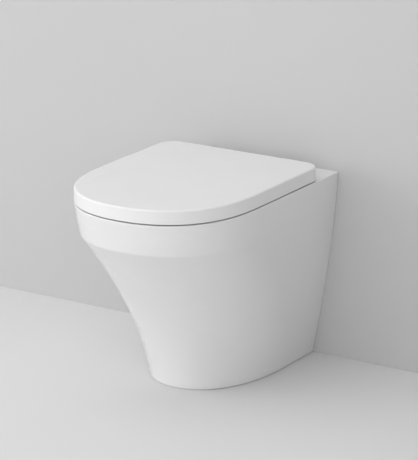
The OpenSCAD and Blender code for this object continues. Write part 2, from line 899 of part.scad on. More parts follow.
pan();
inlet_seal();
floor_bracket(LEFT);  // floor_bracket_left
floor_bracket(RIGHT);  // floor_bracket_right
bracket_bolts();
bracket_inserts();
hinge_pads();
hinge_base(LEFT);  // hinge_base_left
hinge_base(RIGHT);  // hinge_base_right
hinge_post(LEFT);  // hinge_post_left
hinge_post(RIGHT);  // hinge_post_right
hinge_pin(LEFT);  // hinge_pin_left
hinge_pin(RIGHT);  // hinge_pin_right
hinge_bolts();
hinge_bushes();
hinge_washers();
hinge_nuts();
release_button(LEFT);  // release_button_left
release_button(RIGHT);  // release_button_right
release_spring(LEFT);  // release_spring_left
release_spring(RIGHT);  // release_spring_right
seat_ring();
seat_buffers();
seat_damper();
seat_bearing();
lid_cover();
lid_buffers();
lid_damper();
lid_bearing();
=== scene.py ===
"""Back to wall toilet: the looks of its pan, seat, lid and hinges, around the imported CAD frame.

Sizes are in millimetres, measured as on the CAD model: x to the right, y from the wall
(negative towards the front) and z up from the floor. Every mesh is stored in metres in the
frame's own axes, in which the wall stands at WALL_Y. Points closer than MERGE metres are one.
A solid that cuts runs PAST the face that it opens. Angles are in degrees. On the fittings,
faces within FLAT_ANGLE become one, edges above EDGE_ANGLE are rounded and those below it are
shaded smooth, as edges below MOULDING_ANGLE are on the seat and the lid.
"""

import logging
import math
from collections.abc import Callable, Iterable, Sequence
from dataclasses import dataclass, field
from enum import Enum

import bmesh
import bpy
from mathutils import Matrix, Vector


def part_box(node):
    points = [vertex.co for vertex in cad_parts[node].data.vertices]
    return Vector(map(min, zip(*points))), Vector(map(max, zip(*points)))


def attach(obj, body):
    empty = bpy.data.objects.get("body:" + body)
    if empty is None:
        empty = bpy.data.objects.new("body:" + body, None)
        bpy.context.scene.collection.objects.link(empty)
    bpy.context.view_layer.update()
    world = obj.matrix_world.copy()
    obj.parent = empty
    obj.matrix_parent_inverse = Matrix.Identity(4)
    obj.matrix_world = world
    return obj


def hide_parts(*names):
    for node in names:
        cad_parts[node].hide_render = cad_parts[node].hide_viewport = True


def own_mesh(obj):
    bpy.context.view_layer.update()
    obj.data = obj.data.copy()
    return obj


Point = tuple[float, float, float]
Flat = tuple[float, float]
Colour = tuple[float, float, float, float]

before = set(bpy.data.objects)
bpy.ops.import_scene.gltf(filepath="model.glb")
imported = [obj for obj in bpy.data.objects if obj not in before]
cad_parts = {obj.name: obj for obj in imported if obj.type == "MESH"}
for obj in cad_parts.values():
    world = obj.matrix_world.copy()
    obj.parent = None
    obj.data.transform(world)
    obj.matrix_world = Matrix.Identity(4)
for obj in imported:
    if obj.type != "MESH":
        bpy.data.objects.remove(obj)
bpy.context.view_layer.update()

LOG = logging.getLogger("toilet")
SIDES = ("left", "right")
MM = 0.001
WALL_Y = 266.5
MERGE = 1e-6
PAST = 1.0
NORMAL_WEIGHT = 80
FLAT_ANGLE = 0.5
EDGE_ANGLE = 40.0
MOULDING_ANGLE = 35.0


class Body(str, Enum):
    """Bodies of the frame that pieces ride on."""

    PAN = "pan_body"
    SEAT = "seat_body"
    LID = "lid_body"
    LEFT_BUTTON = "left_button"
    RIGHT_BUTTON = "right_button"


class Slot(str, Enum):
    """Material slots of the record."""

    GLAZE = "glazed_ceramic"
    SEAT = "seat_plastic"
    CHROME = "hinge_chrome"
    PIN = "pin_steel"
    ZINC = "zinc_steel"
    BLACK_RUBBER = "black_rubber"
    CLEAR_RUBBER = "clear_rubber"
    DAMPER = "damper_plastic"
    NYLON = "nylon"


class Cut(str, Enum):
    """What one solid does to another."""

    TAKE = "DIFFERENCE"
    ADD = "UNION"


# ------------------------------------------------------------------ curves


def lerp(a: float, b: float, t: float) -> float:
    """Value at share t of the way from a to b."""
    return a + (b - a) * t


def levels(low: float, high: float, steps: int) -> list[float]:
    """Even steps from low to high, both ends among them."""
    return [lerp(low, high, i / steps) for i in range(steps + 1)]


def signed_pow(value: float, power: float) -> float:
    """Power of the size of a value, with its sign kept."""
    return math.copysign(abs(value) ** power, value)


def quarter(radius: float, steps: int) -> list[Flat]:
    """Pairs of inset and drop across a rounded upper edge, from its side up to its top.

    Args:
        radius: Radius of the edge.
        steps: Facets across it.

    Returns:
        (inset, drop below the top) for each step.
    """
    turns = [math.pi / 2 * i / steps for i in range(steps + 1)]
    return [(radius * (1 - math.cos(t)), radius * (1 - math.sin(t))) for t in turns]


def nose_curve(half: float, start: float, length: float, powers: Flat, steps: int) -> list[Flat]:
    """Right half of a rounded front, from where the straight side ends to the middle.

    Args:
        half: Half width where it starts.
        start: y where it starts.
        length: How far it reaches forward.
        powers: Powers of the curve, at the side and in front.
        steps: Facets along it.

    Returns:
        Points from the side to the middle.
    """
    side, front = powers
    turns = [math.pi / 2 * i / steps for i in range(steps + 1)]
    return [
        (half * max(math.cos(a), 0.0) ** (2 / side), start - length * math.sin(a) ** (2 / front))
        for a in turns
    ]


def mirrored(half: Sequence[Flat]) -> list[Flat]:
    """Closes the right half of an outline with its mirror image, the middle point once."""
    return [*half, *((-x, y) for x, y in reversed(half[:-1]))]


def placed(point: Point) -> Vector:
    """A point of the wall's axes in millimetres, in the frame's axes in metres."""
    x, y, z = point
    return Vector((x * MM, (y + WALL_Y) * MM, z * MM))


# ---------------------------------------------------------------- modelling


def only(piece: bpy.types.Object) -> None:
    """Leaves one object selected and active.

    Args:
        piece: The object.
    """
    bpy.ops.object.select_all(action="DESELECT")
    piece.select_set(True)
    bpy.context.view_layer.objects.active = piece


def named_new(name: str) -> bpy.types.Object:
    """Names the primitive that was just added, and its mesh.

    Args:
        name: Its new name.

    Returns:
        The primitive.
    """
    made = bpy.context.active_object
    made.name = name
    made.data.name = name
    return made


def freeze(piece: bpy.types.Object) -> None:
    """Puts an object's place into its mesh."""
    only(piece)
    bpy.ops.object.transform_apply(location=True, rotation=True, scale=True)


def apply_modifier(piece: bpy.types.Object, kind: str, **values: object) -> None:
    """Adds a modifier with its values and applies it.

    Args:
        piece: The object to change.
        kind: Blender's name of the modifier's type.
        **values: The modifier's own settings.
    """
    only(piece)
    made = piece.modifiers.new(kind.lower(), kind)
    for key, value in values.items():
        setattr(made, key, value)
    bpy.ops.object.modifier_apply(modifier=made.name)


def combine(piece: bpy.types.Object, tools: Iterable[bpy.types.Object], how: Cut) -> None:
    """Adds other solids to a piece or takes them from it, and removes them.

    Args:
        piece: The object to change.
        tools: The other solids.
        how: Whether they are added or taken.
    """
    for tool in tools:
        apply_modifier(piece, "BOOLEAN", operation=how.value, object=tool, solver="EXACT")
        bpy.data.objects.remove(tool, do_unlink=True)


def edit_all(piece: bpy.types.Object, *steps: Callable[[], object]) -> None:
    """Runs edit-mode steps on all of a piece.

    Args:
        piece: The object to change.
        *steps: Operators to call, in order.
    """
    only(piece)
    bpy.ops.object.mode_set(mode="EDIT")
    bpy.ops.mesh.select_all(action="SELECT")
    for step in steps:
        step()
    bpy.ops.object.mode_set(mode="OBJECT")


def turn_outward(piece: bpy.types.Object) -> None:
    """Merges doubled points and turns all faces outward.

    Args:
        piece: The object to change.
    """
    edit_all(
        piece,
        lambda: bpy.ops.mesh.remove_doubles(threshold=MERGE),
        lambda: bpy.ops.mesh.normals_make_consistent(inside=False),
    )


def bevel_where(
    piece: bpy.types.Object, test: Callable[[Vector, Vector], bool], width: float, segments: int
) -> None:
    """Rounds the edges whose two ends pass a test.

    Args:
        piece: The object to change.
        test: Takes the two ends of an edge, in metres.
        width: Width of the rounding in millimetres.
        segments: Facets across it.
    """
    only(piece)
    bpy.ops.object.mode_set(mode="EDIT")
    bpy.ops.mesh.select_mode(type="EDGE")
    bpy.ops.mesh.select_all(action="DESELECT")
    mesh = bmesh.from_edit_mesh(piece.data)
    for edge in mesh.edges:
        edge.select_set(test(edge.verts[0].co, edge.verts[1].co))
    bmesh.update_edit_mesh(piece.data)
    bpy.ops.mesh.bevel(offset=width * MM, segments=segments, affect="EDGES")
    bpy.ops.mesh.select_mode(type="VERT")
    bpy.ops.object.mode_set(mode="OBJECT")


def smooth(piece: bpy.types.Object, angle: float, weighted: bool = True) -> None:
    """Shades a piece smooth across edges flatter than an angle in degrees.

    Args:
        piece: The object to shade.
        angle: The angle in degrees.
        weighted: Whether large faces decide the shading of their edges.
    """
    only(piece)
    bpy.ops.object.shade_smooth_by_angle(angle=math.radians(angle))
    if weighted:
        apply_modifier(piece, "WEIGHTED_NORMAL", keep_sharp=True, weight=NORMAL_WEIGHT)


class Skin:
    """A skin that is drawn out of a circle ring by ring, as a pot is coiled.

    Each ring is extruded from the one before, and its points are then moved onto the section
    there, because a section of this object is not a scaled circle.
    """

    def __init__(self, name: str, first: Sequence[Point]) -> None:
        """Adds the first ring, on the section that it starts from.

        Args:
            name: Name of the piece.
            first: Points of its first section.
        """
        bpy.ops.object.select_all(action="DESELECT")
        bpy.ops.mesh.primitive_circle_add(vertices=len(first), radius=0.1, fill_type="NOTHING")
        self.piece = named_new(name)
        self.count = len(first)
        bpy.ops.object.mode_set(mode="EDIT")
        self.ring = list(range(self.count))
        self.first = self.ring
        self._move(first)

    def _mesh(self) -> bmesh.types.BMesh:
        """The mesh in edit mode, with its points ready to look up.

        Returns:
            The piece's mesh in edit mode.
        """
        mesh = bmesh.from_edit_mesh(self.piece.data)
        mesh.verts.ensure_lookup_table()
        return mesh

    def _move(self, points: Sequence[Point]) -> None:
        """Moves the newest ring's points onto a section.

        Args:
            points: Points of the section.
        """
        mesh = self._mesh()
        for index, point in zip(self.ring, points, strict=True):
            mesh.verts[index].co = placed(point)
        bmesh.update_edit_mesh(self.piece.data)

    def draw_to(self, points: Sequence[Point]) -> None:
        """Extrudes the newest ring and moves the new one onto the next section.

        Args:
            points: Points of that section.
        """
        bpy.ops.mesh.extrude_region_move(TRANSFORM_OT_translate={"value": (0.0, 0.0, 0.0)})
        mesh = self._mesh()
        mesh.verts.index_update()
        self.ring = [
            next(e.other_vert(mesh.verts[i]).index for e in mesh.verts[i].link_edges
                 if e.other_vert(mesh.verts[i]).select)
            for i in self.ring
        ]
        self._move(points)

    def _select(self, *rings: Sequence[int]) -> None:
        """Selects whole rings and nothing else.

        Args:
            *rings: Numbers of each ring's points.
        """
        bpy.ops.mesh.select_all(action="DESELECT")
        mesh = self._mesh()
        for ring in rings:
            for index in ring:
                mesh.verts[index].select = True
        mesh.select_flush(True)
        bmesh.update_edit_mesh(self.piece.data)

    def cap(self, rim: float = 0.0) -> bpy.types.Object:
        """Closes both ends with flat faces.

        Args:
            rim: Width in millimetres of a flat border inside the last ring's face.

        Returns:
            The finished solid.
        """
        for ring in (self.ring, self.first):
            self._select(ring)
            bpy.ops.mesh.edge_face_add()
            if rim and ring is self.ring:
                bpy.ops.mesh.inset(thickness=rim * MM, depth=0)
        return self._done()

    def join_ends(self) -> bpy.types.Object:
        """Bridges the last ring to the first.

        Returns:
            The finished ring-shaped solid.
        """
        self._select(self.ring, self.first)
        bpy.ops.mesh.bridge_edge_loops()
        return self._done()

    def _done(self) -> bpy.types.Object:
        """Leaves edit mode with all faces turned outward.

        Returns:
            The piece.
        """
        bpy.ops.mesh.select_all(action="SELECT")
        bpy.ops.mesh.normals_make_consistent(inside=False)
        bpy.ops.object.mode_set(mode="OBJECT")
        return self.piece


def skin(
    name: str, rings: Sequence[Sequence[Point]], rim: float = 0.0, hollow: bool = False
) -> bpy.types.Object:
    """A closed solid through rings of equally many points.

    Args:
        name: Name of the piece.
        rings: Its sections in order.
        rim: Width in millimetres of a flat border inside the last section's face.
        hollow: Whether the last section joins the first, as on a seat, with no end faces.

    Returns:
        The finished solid.
    """
    made = Skin(name, rings[0])
    for ring in rings[1:]:
        made.draw_to(ring)
    return made.join_ends() if hollow else made.cap(rim)


def rod(
    name: str, start: Point, end: Point, radius: float, sides: int = 96, edge: float = 0.0
) -> bpy.types.Object:
    """A round bar between two points.

    Args:
        name: Name of the piece.
        start: Middle of one end.
        end: Middle of the other end.
        radius: Its radius.
        sides: Facets round it.
        edge: Rounding of its end edges.

    Returns:
        The bar.
    """
    a, b = placed(start), placed(end)
    bpy.ops.object.select_all(action="DESELECT")
    bpy.ops.mesh.primitive_cylinder_add(
        vertices=sides,
        radius=radius * MM,
        depth=(b - a).length,
        location=(a + b) / 2,
        rotation=(b - a).to_track_quat("Z", "Y").to_euler(),
    )
    made = named_new(name)
    freeze(made)
    if edge:
        apply_modifier(made, "BEVEL", width=edge * MM, segments=4, limit_method="ANGLE")
    return made


def block(name: str, low: Point, high: Point, edge: float = 0.0) -> bpy.types.Object:
    """A box between two corners.

    Args:
        name: Name of the piece.
        low: One corner.
        high: The opposite corner.
        edge: Rounding of its edges.

    Returns:
        The box.
    """
    a, b = placed(low), placed(high)
    bpy.ops.object.select_all(action="DESELECT")
    spans = [abs(far - near) for near, far in zip(a, b)]
    bpy.ops.mesh.primitive_cube_add(size=1, location=(a + b) / 2, scale=spans)
    made = named_new(name)
    freeze(made)
    if edge:
        apply_modifier(made, "BEVEL", width=edge * MM, segments=3, limit_method="ANGLE")
    return made


def twin(piece: bpy.types.Object) -> bpy.types.Object:
    """A mirrored copy of a piece, on the other side of the middle.

    Args:
        piece: The piece to copy.

    Returns:
        The copy, with a mesh of its own.
    """
    only(piece)
    bpy.ops.object.duplicate()
    made = bpy.context.active_object
    bpy.ops.transform.mirror(
        orient_type="GLOBAL", constraint_axis=(True, False, False), center_override=(0, 0, 0)
    )
    freeze(made)
    edit_all(made, lambda: bpy.ops.mesh.normals_make_consistent(inside=False))
    return made


def both_sides(piece: bpy.types.Object) -> list[bpy.types.Object]:
    """A piece and its mirrored copy."""
    return [piece, twin(piece)]


def softened(name: str, node: str, width: float, segments: int = 3) -> bpy.types.Object:
    """A copy of a CAD node with its sharp edges rounded.

    Args:
        name: Name of the new piece.
        node: Name of the CAD node that it copies and replaces.
        width: Width of the rounding in millimetres.
        segments: Facets across it.

    Returns:
        The new piece, which does not ride on a body yet.
    """
    made = bpy.data.objects.new(name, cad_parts[node].data.copy())
    made.data.name = name
    made.data.materials.clear()
    bpy.context.scene.collection.objects.link(made)
    edit_all(
        made,
        lambda: bpy.ops.mesh.remove_doubles(threshold=MERGE),
        lambda: bpy.ops.mesh.dissolve_limited(angle_limit=math.radians(FLAT_ANGLE)),
    )
    apply_modifier(
        made, "BEVEL", width=width * MM, segments=segments, limit_method="ANGLE",
        angle_limit=math.radians(EDGE_ANGLE), use_clamp_overlap=True,
    )
    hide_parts(node)
    return made


# ---------------------------------------------------------------- finishes


class Wire:
    """A material's or a group's node tree, with short ways to add and join nodes."""

    def __init__(self, tree: bpy.types.NodeTree) -> None:
        """Takes the tree to work on."""
        self.tree = tree

    def add(self, kind: str, **values: object) -> bpy.types.Node:
        """Adds a node.

        Args:
            kind: Blender's name of the node's type.
            **values: The node's own settings.

        Returns:
            The new node.
        """
        made = self.tree.nodes.new(kind)
        for key, value in values.items():
            setattr(made, key, value)
        return made

    def join(self, out: bpy.types.NodeSocket, into: bpy.types.NodeSocket) -> None:
        """Links an output to an input."""
        self.tree.links.new(out, into)

    def feed(self, source: bpy.types.Node, node: bpy.types.Node, **names: str) -> None:
        """Joins a node's inputs to a source's outputs.

        Args:
            source: The node that gives.
            node: The node that takes.
            **names: Name of the output for each input, whose spaces are written as underscores.
        """
        for into, out in names.items():
            self.join(source.outputs[out], node.inputs[into.replace("_", " ")])

    def calc(self, operation: str, *values: object) -> bpy.types.NodeSocket:
        """Adds a Math node.

        Args:
            operation: Blender's name of the operation.
            *values: Numbers or other nodes' outputs.

        Returns:
            Its result.
        """
        made = self.add("ShaderNodeMath", operation=operation)
        for socket, value in zip(made.inputs, values):
            self.put(value, socket)
        return made.outputs[0]

    def put(self, value: object, socket: bpy.types.NodeSocket) -> None:
        """Gives an input its value.

        Args:
            value: A plain value or another node's output.
            socket: The input.
        """
        if isinstance(value, bpy.types.NodeSocket):
            self.join(value, socket)
        else:
            socket.default_value = value

    def spread(self, value: bpy.types.NodeSocket, to: Flat) -> bpy.types.NodeSocket:
        """Maps a value between 0 and 1 onto a range, and holds it there.

        Args:
            value: The output to map.
            to: Both ends of the range.

        Returns:
            The mapped value.
        """
        made = self.add("ShaderNodeMapRange")
        for key, number in zip(("Value", "To Min", "To Max"), (value, *to)):
            self.put(number, made.inputs[key])
        return made.outputs["Result"]

    def blend(
        self, mask: bpy.types.NodeSocket, first: object, second: object
    ) -> bpy.types.NodeSocket:
        """Mixes two colours, each a plain value or another node's output.

        The Mix node has inputs and outputs of each kind side by side, so they go by number.

        Args:
            mask: 0 for the first colour and 1 for the second.
            first: The first colour.
            second: The second colour.

        Returns:
            The mixed colour.
        """
        made = self.add("ShaderNodeMix", data_type="RGBA")
        for number, value in ((0, mask), (6, first), (7, second)):
            self.put(value, made.inputs[number])
        return made.outputs[2]


@dataclass
class Group:
    """A shader node group with a Vector input, numbers and one output."""

    name: str
    numbers: dict[str, float]
    output: str

    def __post_init__(self) -> None:
        """Makes the group's sockets and its two end nodes."""
        tree = bpy.data.node_groups.new(self.name, "ShaderNodeTree")
        tree.interface.new_socket("Vector", in_out="INPUT", socket_type="NodeSocketVector")
        for key, value in self.numbers.items():
            socket = tree.interface.new_socket(key, in_out="INPUT", socket_type="NodeSocketFloat")
            socket.default_value = value
        tree.interface.new_socket(self.output, in_out="OUTPUT", socket_type="NodeSocketFloat")
        self.tree, self.wire = tree, Wire(tree)
        self.source = self.wire.add("NodeGroupInput")
        self.sink = self.wire.add("NodeGroupOutput")

    def pattern(self, kind: str, **names: str) -> bpy.types.Node:
        """Adds a texture that reads the group's Vector.

        Args:
            kind: Blender's name of the texture's type.
            **names: Name of the group's number for each of the texture's inputs.

        Returns:
            The texture.
        """
        made = self.wire.add(kind)
        self.wire.feed(self.source, made, Vector="Vector", **names)
        return made

    def finish(self, value: bpy.types.NodeSocket) -> bpy.types.NodeTree:
        """Puts a value out and returns the finished group."""
        self.wire.join(value, self.sink.inputs[self.output])
        return self.tree


def cloud_group() -> bpy.types.NodeTree:
    """Soft clouds: a mask that runs between 0 and 1 over a scale per metre.

    Returns:
        The group.
    """
    numbers = {"Scale": 20.0, "Detail": 3.0, "Low": 0.35, "High": 0.65}
    group = Group("clouds", numbers, "Mask")
    noise = group.pattern("ShaderNodeTexNoise", Scale="Scale", Detail="Detail")
    ranged = group.wire.add("ShaderNodeMapRange")
    group.wire.feed(noise, ranged, Value="Fac")
    group.wire.feed(group.source, ranged, From_Min="Low", From_Max="High")
    return group.finish(ranged.outputs["Result"])


def ripple_group() -> bpy.types.NodeTree:
    """Long low waves under short ones, as on a poured glaze or a moulded skin.

    Returns:
        The group.
    """
    group = Group("ripple", {"Broad": 30.0, "Fine": 400.0, "Share": 0.3}, "Height")
    mix = group.wire.add("ShaderNodeMix", data_type="FLOAT")
    group.wire.join(group.source.outputs["Share"], mix.inputs[0])
    for socket, key, detail in ((mix.inputs[2], "Broad", 1.0), (mix.inputs[3], "Fine", 2.0)):
        noise = group.pattern("ShaderNodeTexNoise", Scale=key)
        noise.inputs["Detail"].default_value = detail
        group.wire.join(noise.outputs["Fac"], socket)
    return group.finish(mix.outputs[0])


def speck_group() -> bpy.types.NodeTree:
    """Scattered round specks: 1 in a speck and 0 between them.

    Returns:
        The group.
    """
    group = Group("specks", {"Scale": 300.0, "Size": 0.2}, "Mask")
    cells = group.pattern("ShaderNodeTexVoronoi", Scale="Scale")
    ranged = group.wire.add("ShaderNodeMapRange")
    for key, value in (("From Min", 0.0), ("To Min", 1.0), ("To Max", 0.0)):
        ranged.inputs[key].default_value = value
    group.wire.feed(cells, ranged, Value="Distance")
    group.wire.feed(group.source, ranged, From_Max="Size")
    return group.finish(ranged.outputs["Result"])


def patch_group() -> bpy.types.NodeTree:
    """Patches with a grey of their own, as the crystals on zinc.

    Returns:
        The group.
    """
    group = Group("patches", {"Scale": 250.0}, "Mask")
    cells = group.pattern("ShaderNodeTexVoronoi", Scale="Scale")
    tone = group.wire.add("ShaderNodeSeparateColor")
    group.wire.feed(cells, tone, Color="Color")
    return group.finish(tone.outputs["Red"])


class Effects:
    """The shared node groups, each built once."""

    def __init__(self) -> None:
        """Builds all groups."""
        made = (cloud_group(), ripple_group(), speck_group(), patch_group())
        self.groups = {tree.name: tree for tree in made}

    def place(
        self, wire: Wire, name: str, at: bpy.types.NodeSocket, **values: float
    ) -> bpy.types.NodeSocket:
        """Places a group in a material and returns its output.

        Args:
            wire: The material's tree.
            name: Name of the group.
            at: Coordinates that it reads.
            **values: Its numbers, by name in lower case.

        Returns:
            The group's output.
        """
        made = wire.add("ShaderNodeGroup", node_tree=self.groups[name])
        wire.join(at, made.inputs["Vector"])
        for key, value in values.items():
            made.inputs[key.capitalize()].default_value = value
        return made.outputs[0]


@dataclass(frozen=True)
class Finish:
    """How one material looks: two close colours, roughness between two values, and its relief."""

    name: str
    light: Colour
    dark: Colour
    rough: Flat
    cloud_scale: float
    broad: float
    fine: float
    fine_share: float
    relief: float
    metallic: float = 0.0
    coat: float = 0.0
    coat_rough: float = 0.05
    ior: float = 1.5
    specks: float = 0.0
    speck_colour: Colour = (0.3, 0.28, 0.25, 1.0)
    speck_scale: float = 400.0
    patches: float = 0.0
    stretch: Point = (1.0, 1.0, 1.0)
    see_in: float = 0.0
    see_in_depth: float = 2.0
    wear_ratio: float = 3.7
    wear_detail: float = 5.0

    def build(self, effects: Effects) -> bpy.types.Material:
        """Makes the material.

        Args:
            effects: The shared node groups.

        Returns:
            The finished material.
        """
        made = bpy.data.materials.new(self.name)
        made.use_nodes = True
        made.diffuse_color = self.light
        wire = Wire(made.node_tree)
        shader = made.node_tree.nodes["Principled BSDF"]
        where = wire.add("ShaderNodeTexCoord")
        turned = wire.add("ShaderNodeMapping")
        turned.inputs["Scale"].default_value = self.stretch
        wire.join(where.outputs["Object"], turned.inputs["Vector"])
        at = turned.outputs["Vector"]
        clouds = effects.place(wire, "clouds", at, scale=self.cloud_scale)
        colour = wire.blend(clouds, self.light, self.dark)
        if self.patches:
            wear = effects.place(wire, "patches", where.outputs["Object"], scale=self.patches)
            colour = wire.blend(wear, colour, self.dark)
        else:
            scale = self.cloud_scale * self.wear_ratio
            wear = effects.place(wire, "clouds", at, scale=scale, detail=self.wear_detail)
        height = effects.place(
            wire, "ripple", at, broad=self.broad, fine=self.fine, share=self.fine_share
        )
        if self.specks:
            spots = effects.place(
                wire, "specks", where.outputs["Object"], scale=self.speck_scale, size=self.specks
            )
            colour = wire.blend(spots, colour, self.speck_colour)
        wire.join(colour, shader.inputs["Base Color"])
        wire.join(wire.spread(wear, self.rough), shader.inputs["Roughness"])
        bump = wire.add("ShaderNodeBump")
        bump.inputs["Strength"].default_value = 1.0
        bump.inputs["Distance"].default_value = self.relief * MM
        wire.join(height, bump.inputs["Height"])
        wire.join(bump.outputs["Normal"], shader.inputs["Normal"])
        plain = {
            "Metallic": self.metallic,
            "IOR": self.ior,
            "Coat Weight": self.coat,
            "Coat Roughness": self.coat_rough,
            "Subsurface Weight": self.see_in,
            "Subsurface Scale": self.see_in_depth * MM,
        }
        for key, value in plain.items():
            shader.inputs[key].default_value = value
        return made


GLAZE = Finish(
    "white glaze", (0.80, 0.80, 0.80, 1), (0.788, 0.788, 0.788, 1), (0.18, 0.26),
    cloud_scale=9, broad=22, fine=160, fine_share=0.12, relief=0.12, coat=0.12, coat_rough=0.06,
)
BISQUE = Finish(
    "unglazed china", (0.74, 0.725, 0.69, 1), (0.66, 0.64, 0.60, 1), (0.55, 0.8),
    cloud_scale=26, broad=60, fine=900, fine_share=0.6, relief=0.25,
    specks=0.12, speck_colour=(0.42, 0.38, 0.32, 1), speck_scale=260,
)
MOULDED = Finish(
    "white moulded seat", (0.815, 0.815, 0.815, 1), (0.802, 0.802, 0.802, 1), (0.30, 0.37),
    cloud_scale=7, broad=16, fine=120, fine_share=0.1, relief=0.04, ior=1.45,
)
CHROME = Finish(
    "hinge chrome", (0.80, 0.81, 0.83, 1), (0.72, 0.735, 0.755, 1), (0.07, 0.16),
    cloud_scale=60, broad=200, fine=1500, fine_share=0.3, relief=0.004, metallic=1.0,
)
PIN_STEEL = Finish(
    "turned pin steel", (0.64, 0.65, 0.67, 1), (0.5, 0.51, 0.53, 1), (0.22, 0.4),
    cloud_scale=120, broad=900, fine=4000, fine_share=0.5, relief=0.01, metallic=1.0,
    stretch=(4.0, 0.15, 0.15),
)
ZINC = Finish(
    "zinc plating", (0.70, 0.71, 0.72, 1), (0.52, 0.535, 0.555, 1), (0.3, 0.52),
    cloud_scale=90, broad=300, fine=2200, fine_share=0.5, relief=0.02, metallic=0.95, patches=420,
)
BLACK_RUBBER = Finish(
    "black rubber", (0.028, 0.028, 0.029, 1), (0.045, 0.045, 0.046, 1), (0.62, 0.85),
    cloud_scale=70, broad=250, fine=2600, fine_share=0.7, relief=0.04,
)
CLEAR_RUBBER = Finish(
    "milky soft rubber", (0.64, 0.64, 0.62, 1), (0.56, 0.56, 0.54, 1), (0.32, 0.5),
    cloud_scale=110, broad=200, fine=1800, fine_share=0.5, relief=0.02, see_in=0.35,
)
DAMPER = Finish(
    "dark damper plastic", (0.11, 0.11, 0.12, 1), (0.085, 0.085, 0.092, 1), (0.38, 0.55),
    cloud_scale=90, broad=350, fine=2400, fine_share=0.6, relief=0.02,
)
NYLON = Finish(
    "natural nylon", (0.77, 0.765, 0.735, 1), (0.70, 0.69, 0.65, 1), (0.36, 0.52),
    cloud_scale=80, broad=240, fine=2000, fine_share=0.5, relief=0.02, see_in=0.15,
)

FINISHES = {
    Slot.GLAZE: GLAZE,
    Slot.SEAT: MOULDED,
    Slot.CHROME: CHROME,
    Slot.PIN: PIN_STEEL,
    Slot.ZINC: ZINC,
    Slot.BLACK_RUBBER: BLACK_RUBBER,
    Slot.CLEAR_RUBBER: CLEAR_RUBBER,
    Slot.DAMPER: DAMPER,
    Slot.NYLON: NYLON,
}


class Paints:
    """Every material of the object, by the record's slot."""

    def __init__(self) -> None:
        """Builds the shared effects and all materials."""
        effects = Effects()
        self.bisque = BISQUE.build(effects)
        self.by_slot = {slot: finish.build(effects) for slot, finish in FINISHES.items()}

    def dress(self, piece: bpy.types.Object, slot: Slot, body: Body) -> None:
        """Gives a new piece the material of its slot, and its body.

        Args:
            piece: The finished mesh object.
            slot: Its slot in the record.
            body: The body that it rides on.
        """
        piece.data.materials.clear()
        piece.data.materials.append(self.by_slot[slot])
        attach(piece, body.value)
        LOG.info("%s: %d faces, rides on %s", piece.name, len(piece.data.polygons), body.value)

    def repaint(self, node: str, slot: Slot) -> None:
        """Gives a CAD node that is shown as it is its material.

        Args:
            node: The node's name.
            slot: Its slot in the record.
        """
        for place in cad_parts[node].material_slots:
            place.material = self.by_slot[slot]
        LOG.info("%s: CAD node in %s", node, slot.value)


# --------------------------------------------------------------------- pan


@dataclass(frozen=True)
class PanShape:
    """Sizes and sections of the ceramic pan."""

    rim_half: float = 185.0
    foot_half: float = 131.0
    height: float = 400.0
    depth: float = 533.0
    foot_depth: float = 335.0
    band: float = 65.0
    lean: float = 13.0
    rim_nose: float = 238.0
    foot_nose: float = 218.0
    rim_edge: float = 2.5
    shroud_wall: float = 12.0
    deck_wall: float = 14.0
    waist_power: float = 1.45
    flare_power: float = 1.65
    rim_side_power: float = 2.15
    rim_front_power: float = 2.75
    foot_power: float = 2.2
    crease_soft: float = 3.0
    foot_edge: float = 3.4
    nose_steps: int = 56
    side_steps: int = 6
    foot_edge_steps: int = 4
    flare_steps: int = 44
    crease_steps: int = 8
    band_steps: int = 12
    rim_edge_steps: int = 12

    @property
    def crease_z(self) -> float:
        """Height of the crease under the band."""
        return self.height - self.band

    def side_at(self, z: float) -> float:
        """Half width at a height."""
        rise = 1 - max(1 - z / self.height, 0.0) ** self.waist_power
        return lerp(self.foot_half, self.rim_half, rise)

    def _band(self, z: float) -> float:
        """Front of the band above the crease, or of its line carried on."""
        return self.depth - self.lean * (self.height - z) / self.band

    def _flare(self, z: float) -> float:
        """Front of the flare below the crease, or of its line carried on."""
        share = (max(z, 0.0) / self.crease_z) ** self.flare_power
        return lerp(self.foot_depth, self.depth - self.lean, share)

    def front_at(self, z: float) -> float:
        """Front at a height, with the crease rounded over crease_soft either way.

        Args:
            z: Height.

        Returns:
            Distance from the wall.
        """
        low, high = self.crease_z - self.crease_soft, self.crease_z + self.crease_soft
        if z <= low:
            return self._flare(z)
        if z >= high:
            return self._band(z)
        t = (z - low) / (high - low)
        middle = self.depth - self.lean
        first, last = lerp(self._flare(low), middle, t), lerp(middle, self._band(high), t)
        return lerp(first, last, t)

    def powers(self, t: float) -> Flat:
        """Powers of the nose's curve at a share t of the way down, at the sides and in front.

        Args:
            t: Share of the way from the rim to the floor.

        Returns:
            Powers at the sides and in front.
        """
        return (
            lerp(self.rim_side_power, self.foot_power, t),
            lerp(self.rim_front_power, self.foot_power, t),
        )

    def outline(self, z: float, inset: float, back: float) -> list[Flat]:
        """Section of the outside at a height.

        Args:
            z: Height.
            inset: How far it is drawn in.
            back: Where its back edge lies.

        Returns:
            Points round the section, starting and ending on the back edge.
        """
        t = 1 - min(max(z, 0.0), self.height) / self.height
        half, front = self.side_at(max(z, 0.0)) - inset, self.front_at(max(z, 0.0)) - inset
        length = lerp(self.rim_nose, self.foot_nose, t)
        start = -(front - length)
        straight = levels(back, start, self.side_steps)[:-1]
        curve = nose_curve(half, start, length, self.powers(t), self.nose_steps)
        return mirrored([*((half, y) for y in straight), *curve])

    def ring(self, z: float, inset: float = 0.0, back: float = 0.0) -> list[Point]:
        """The section at a height, as points in space."""
        return [(x, y, z) for x, y in self.outline(z, inset, back)]


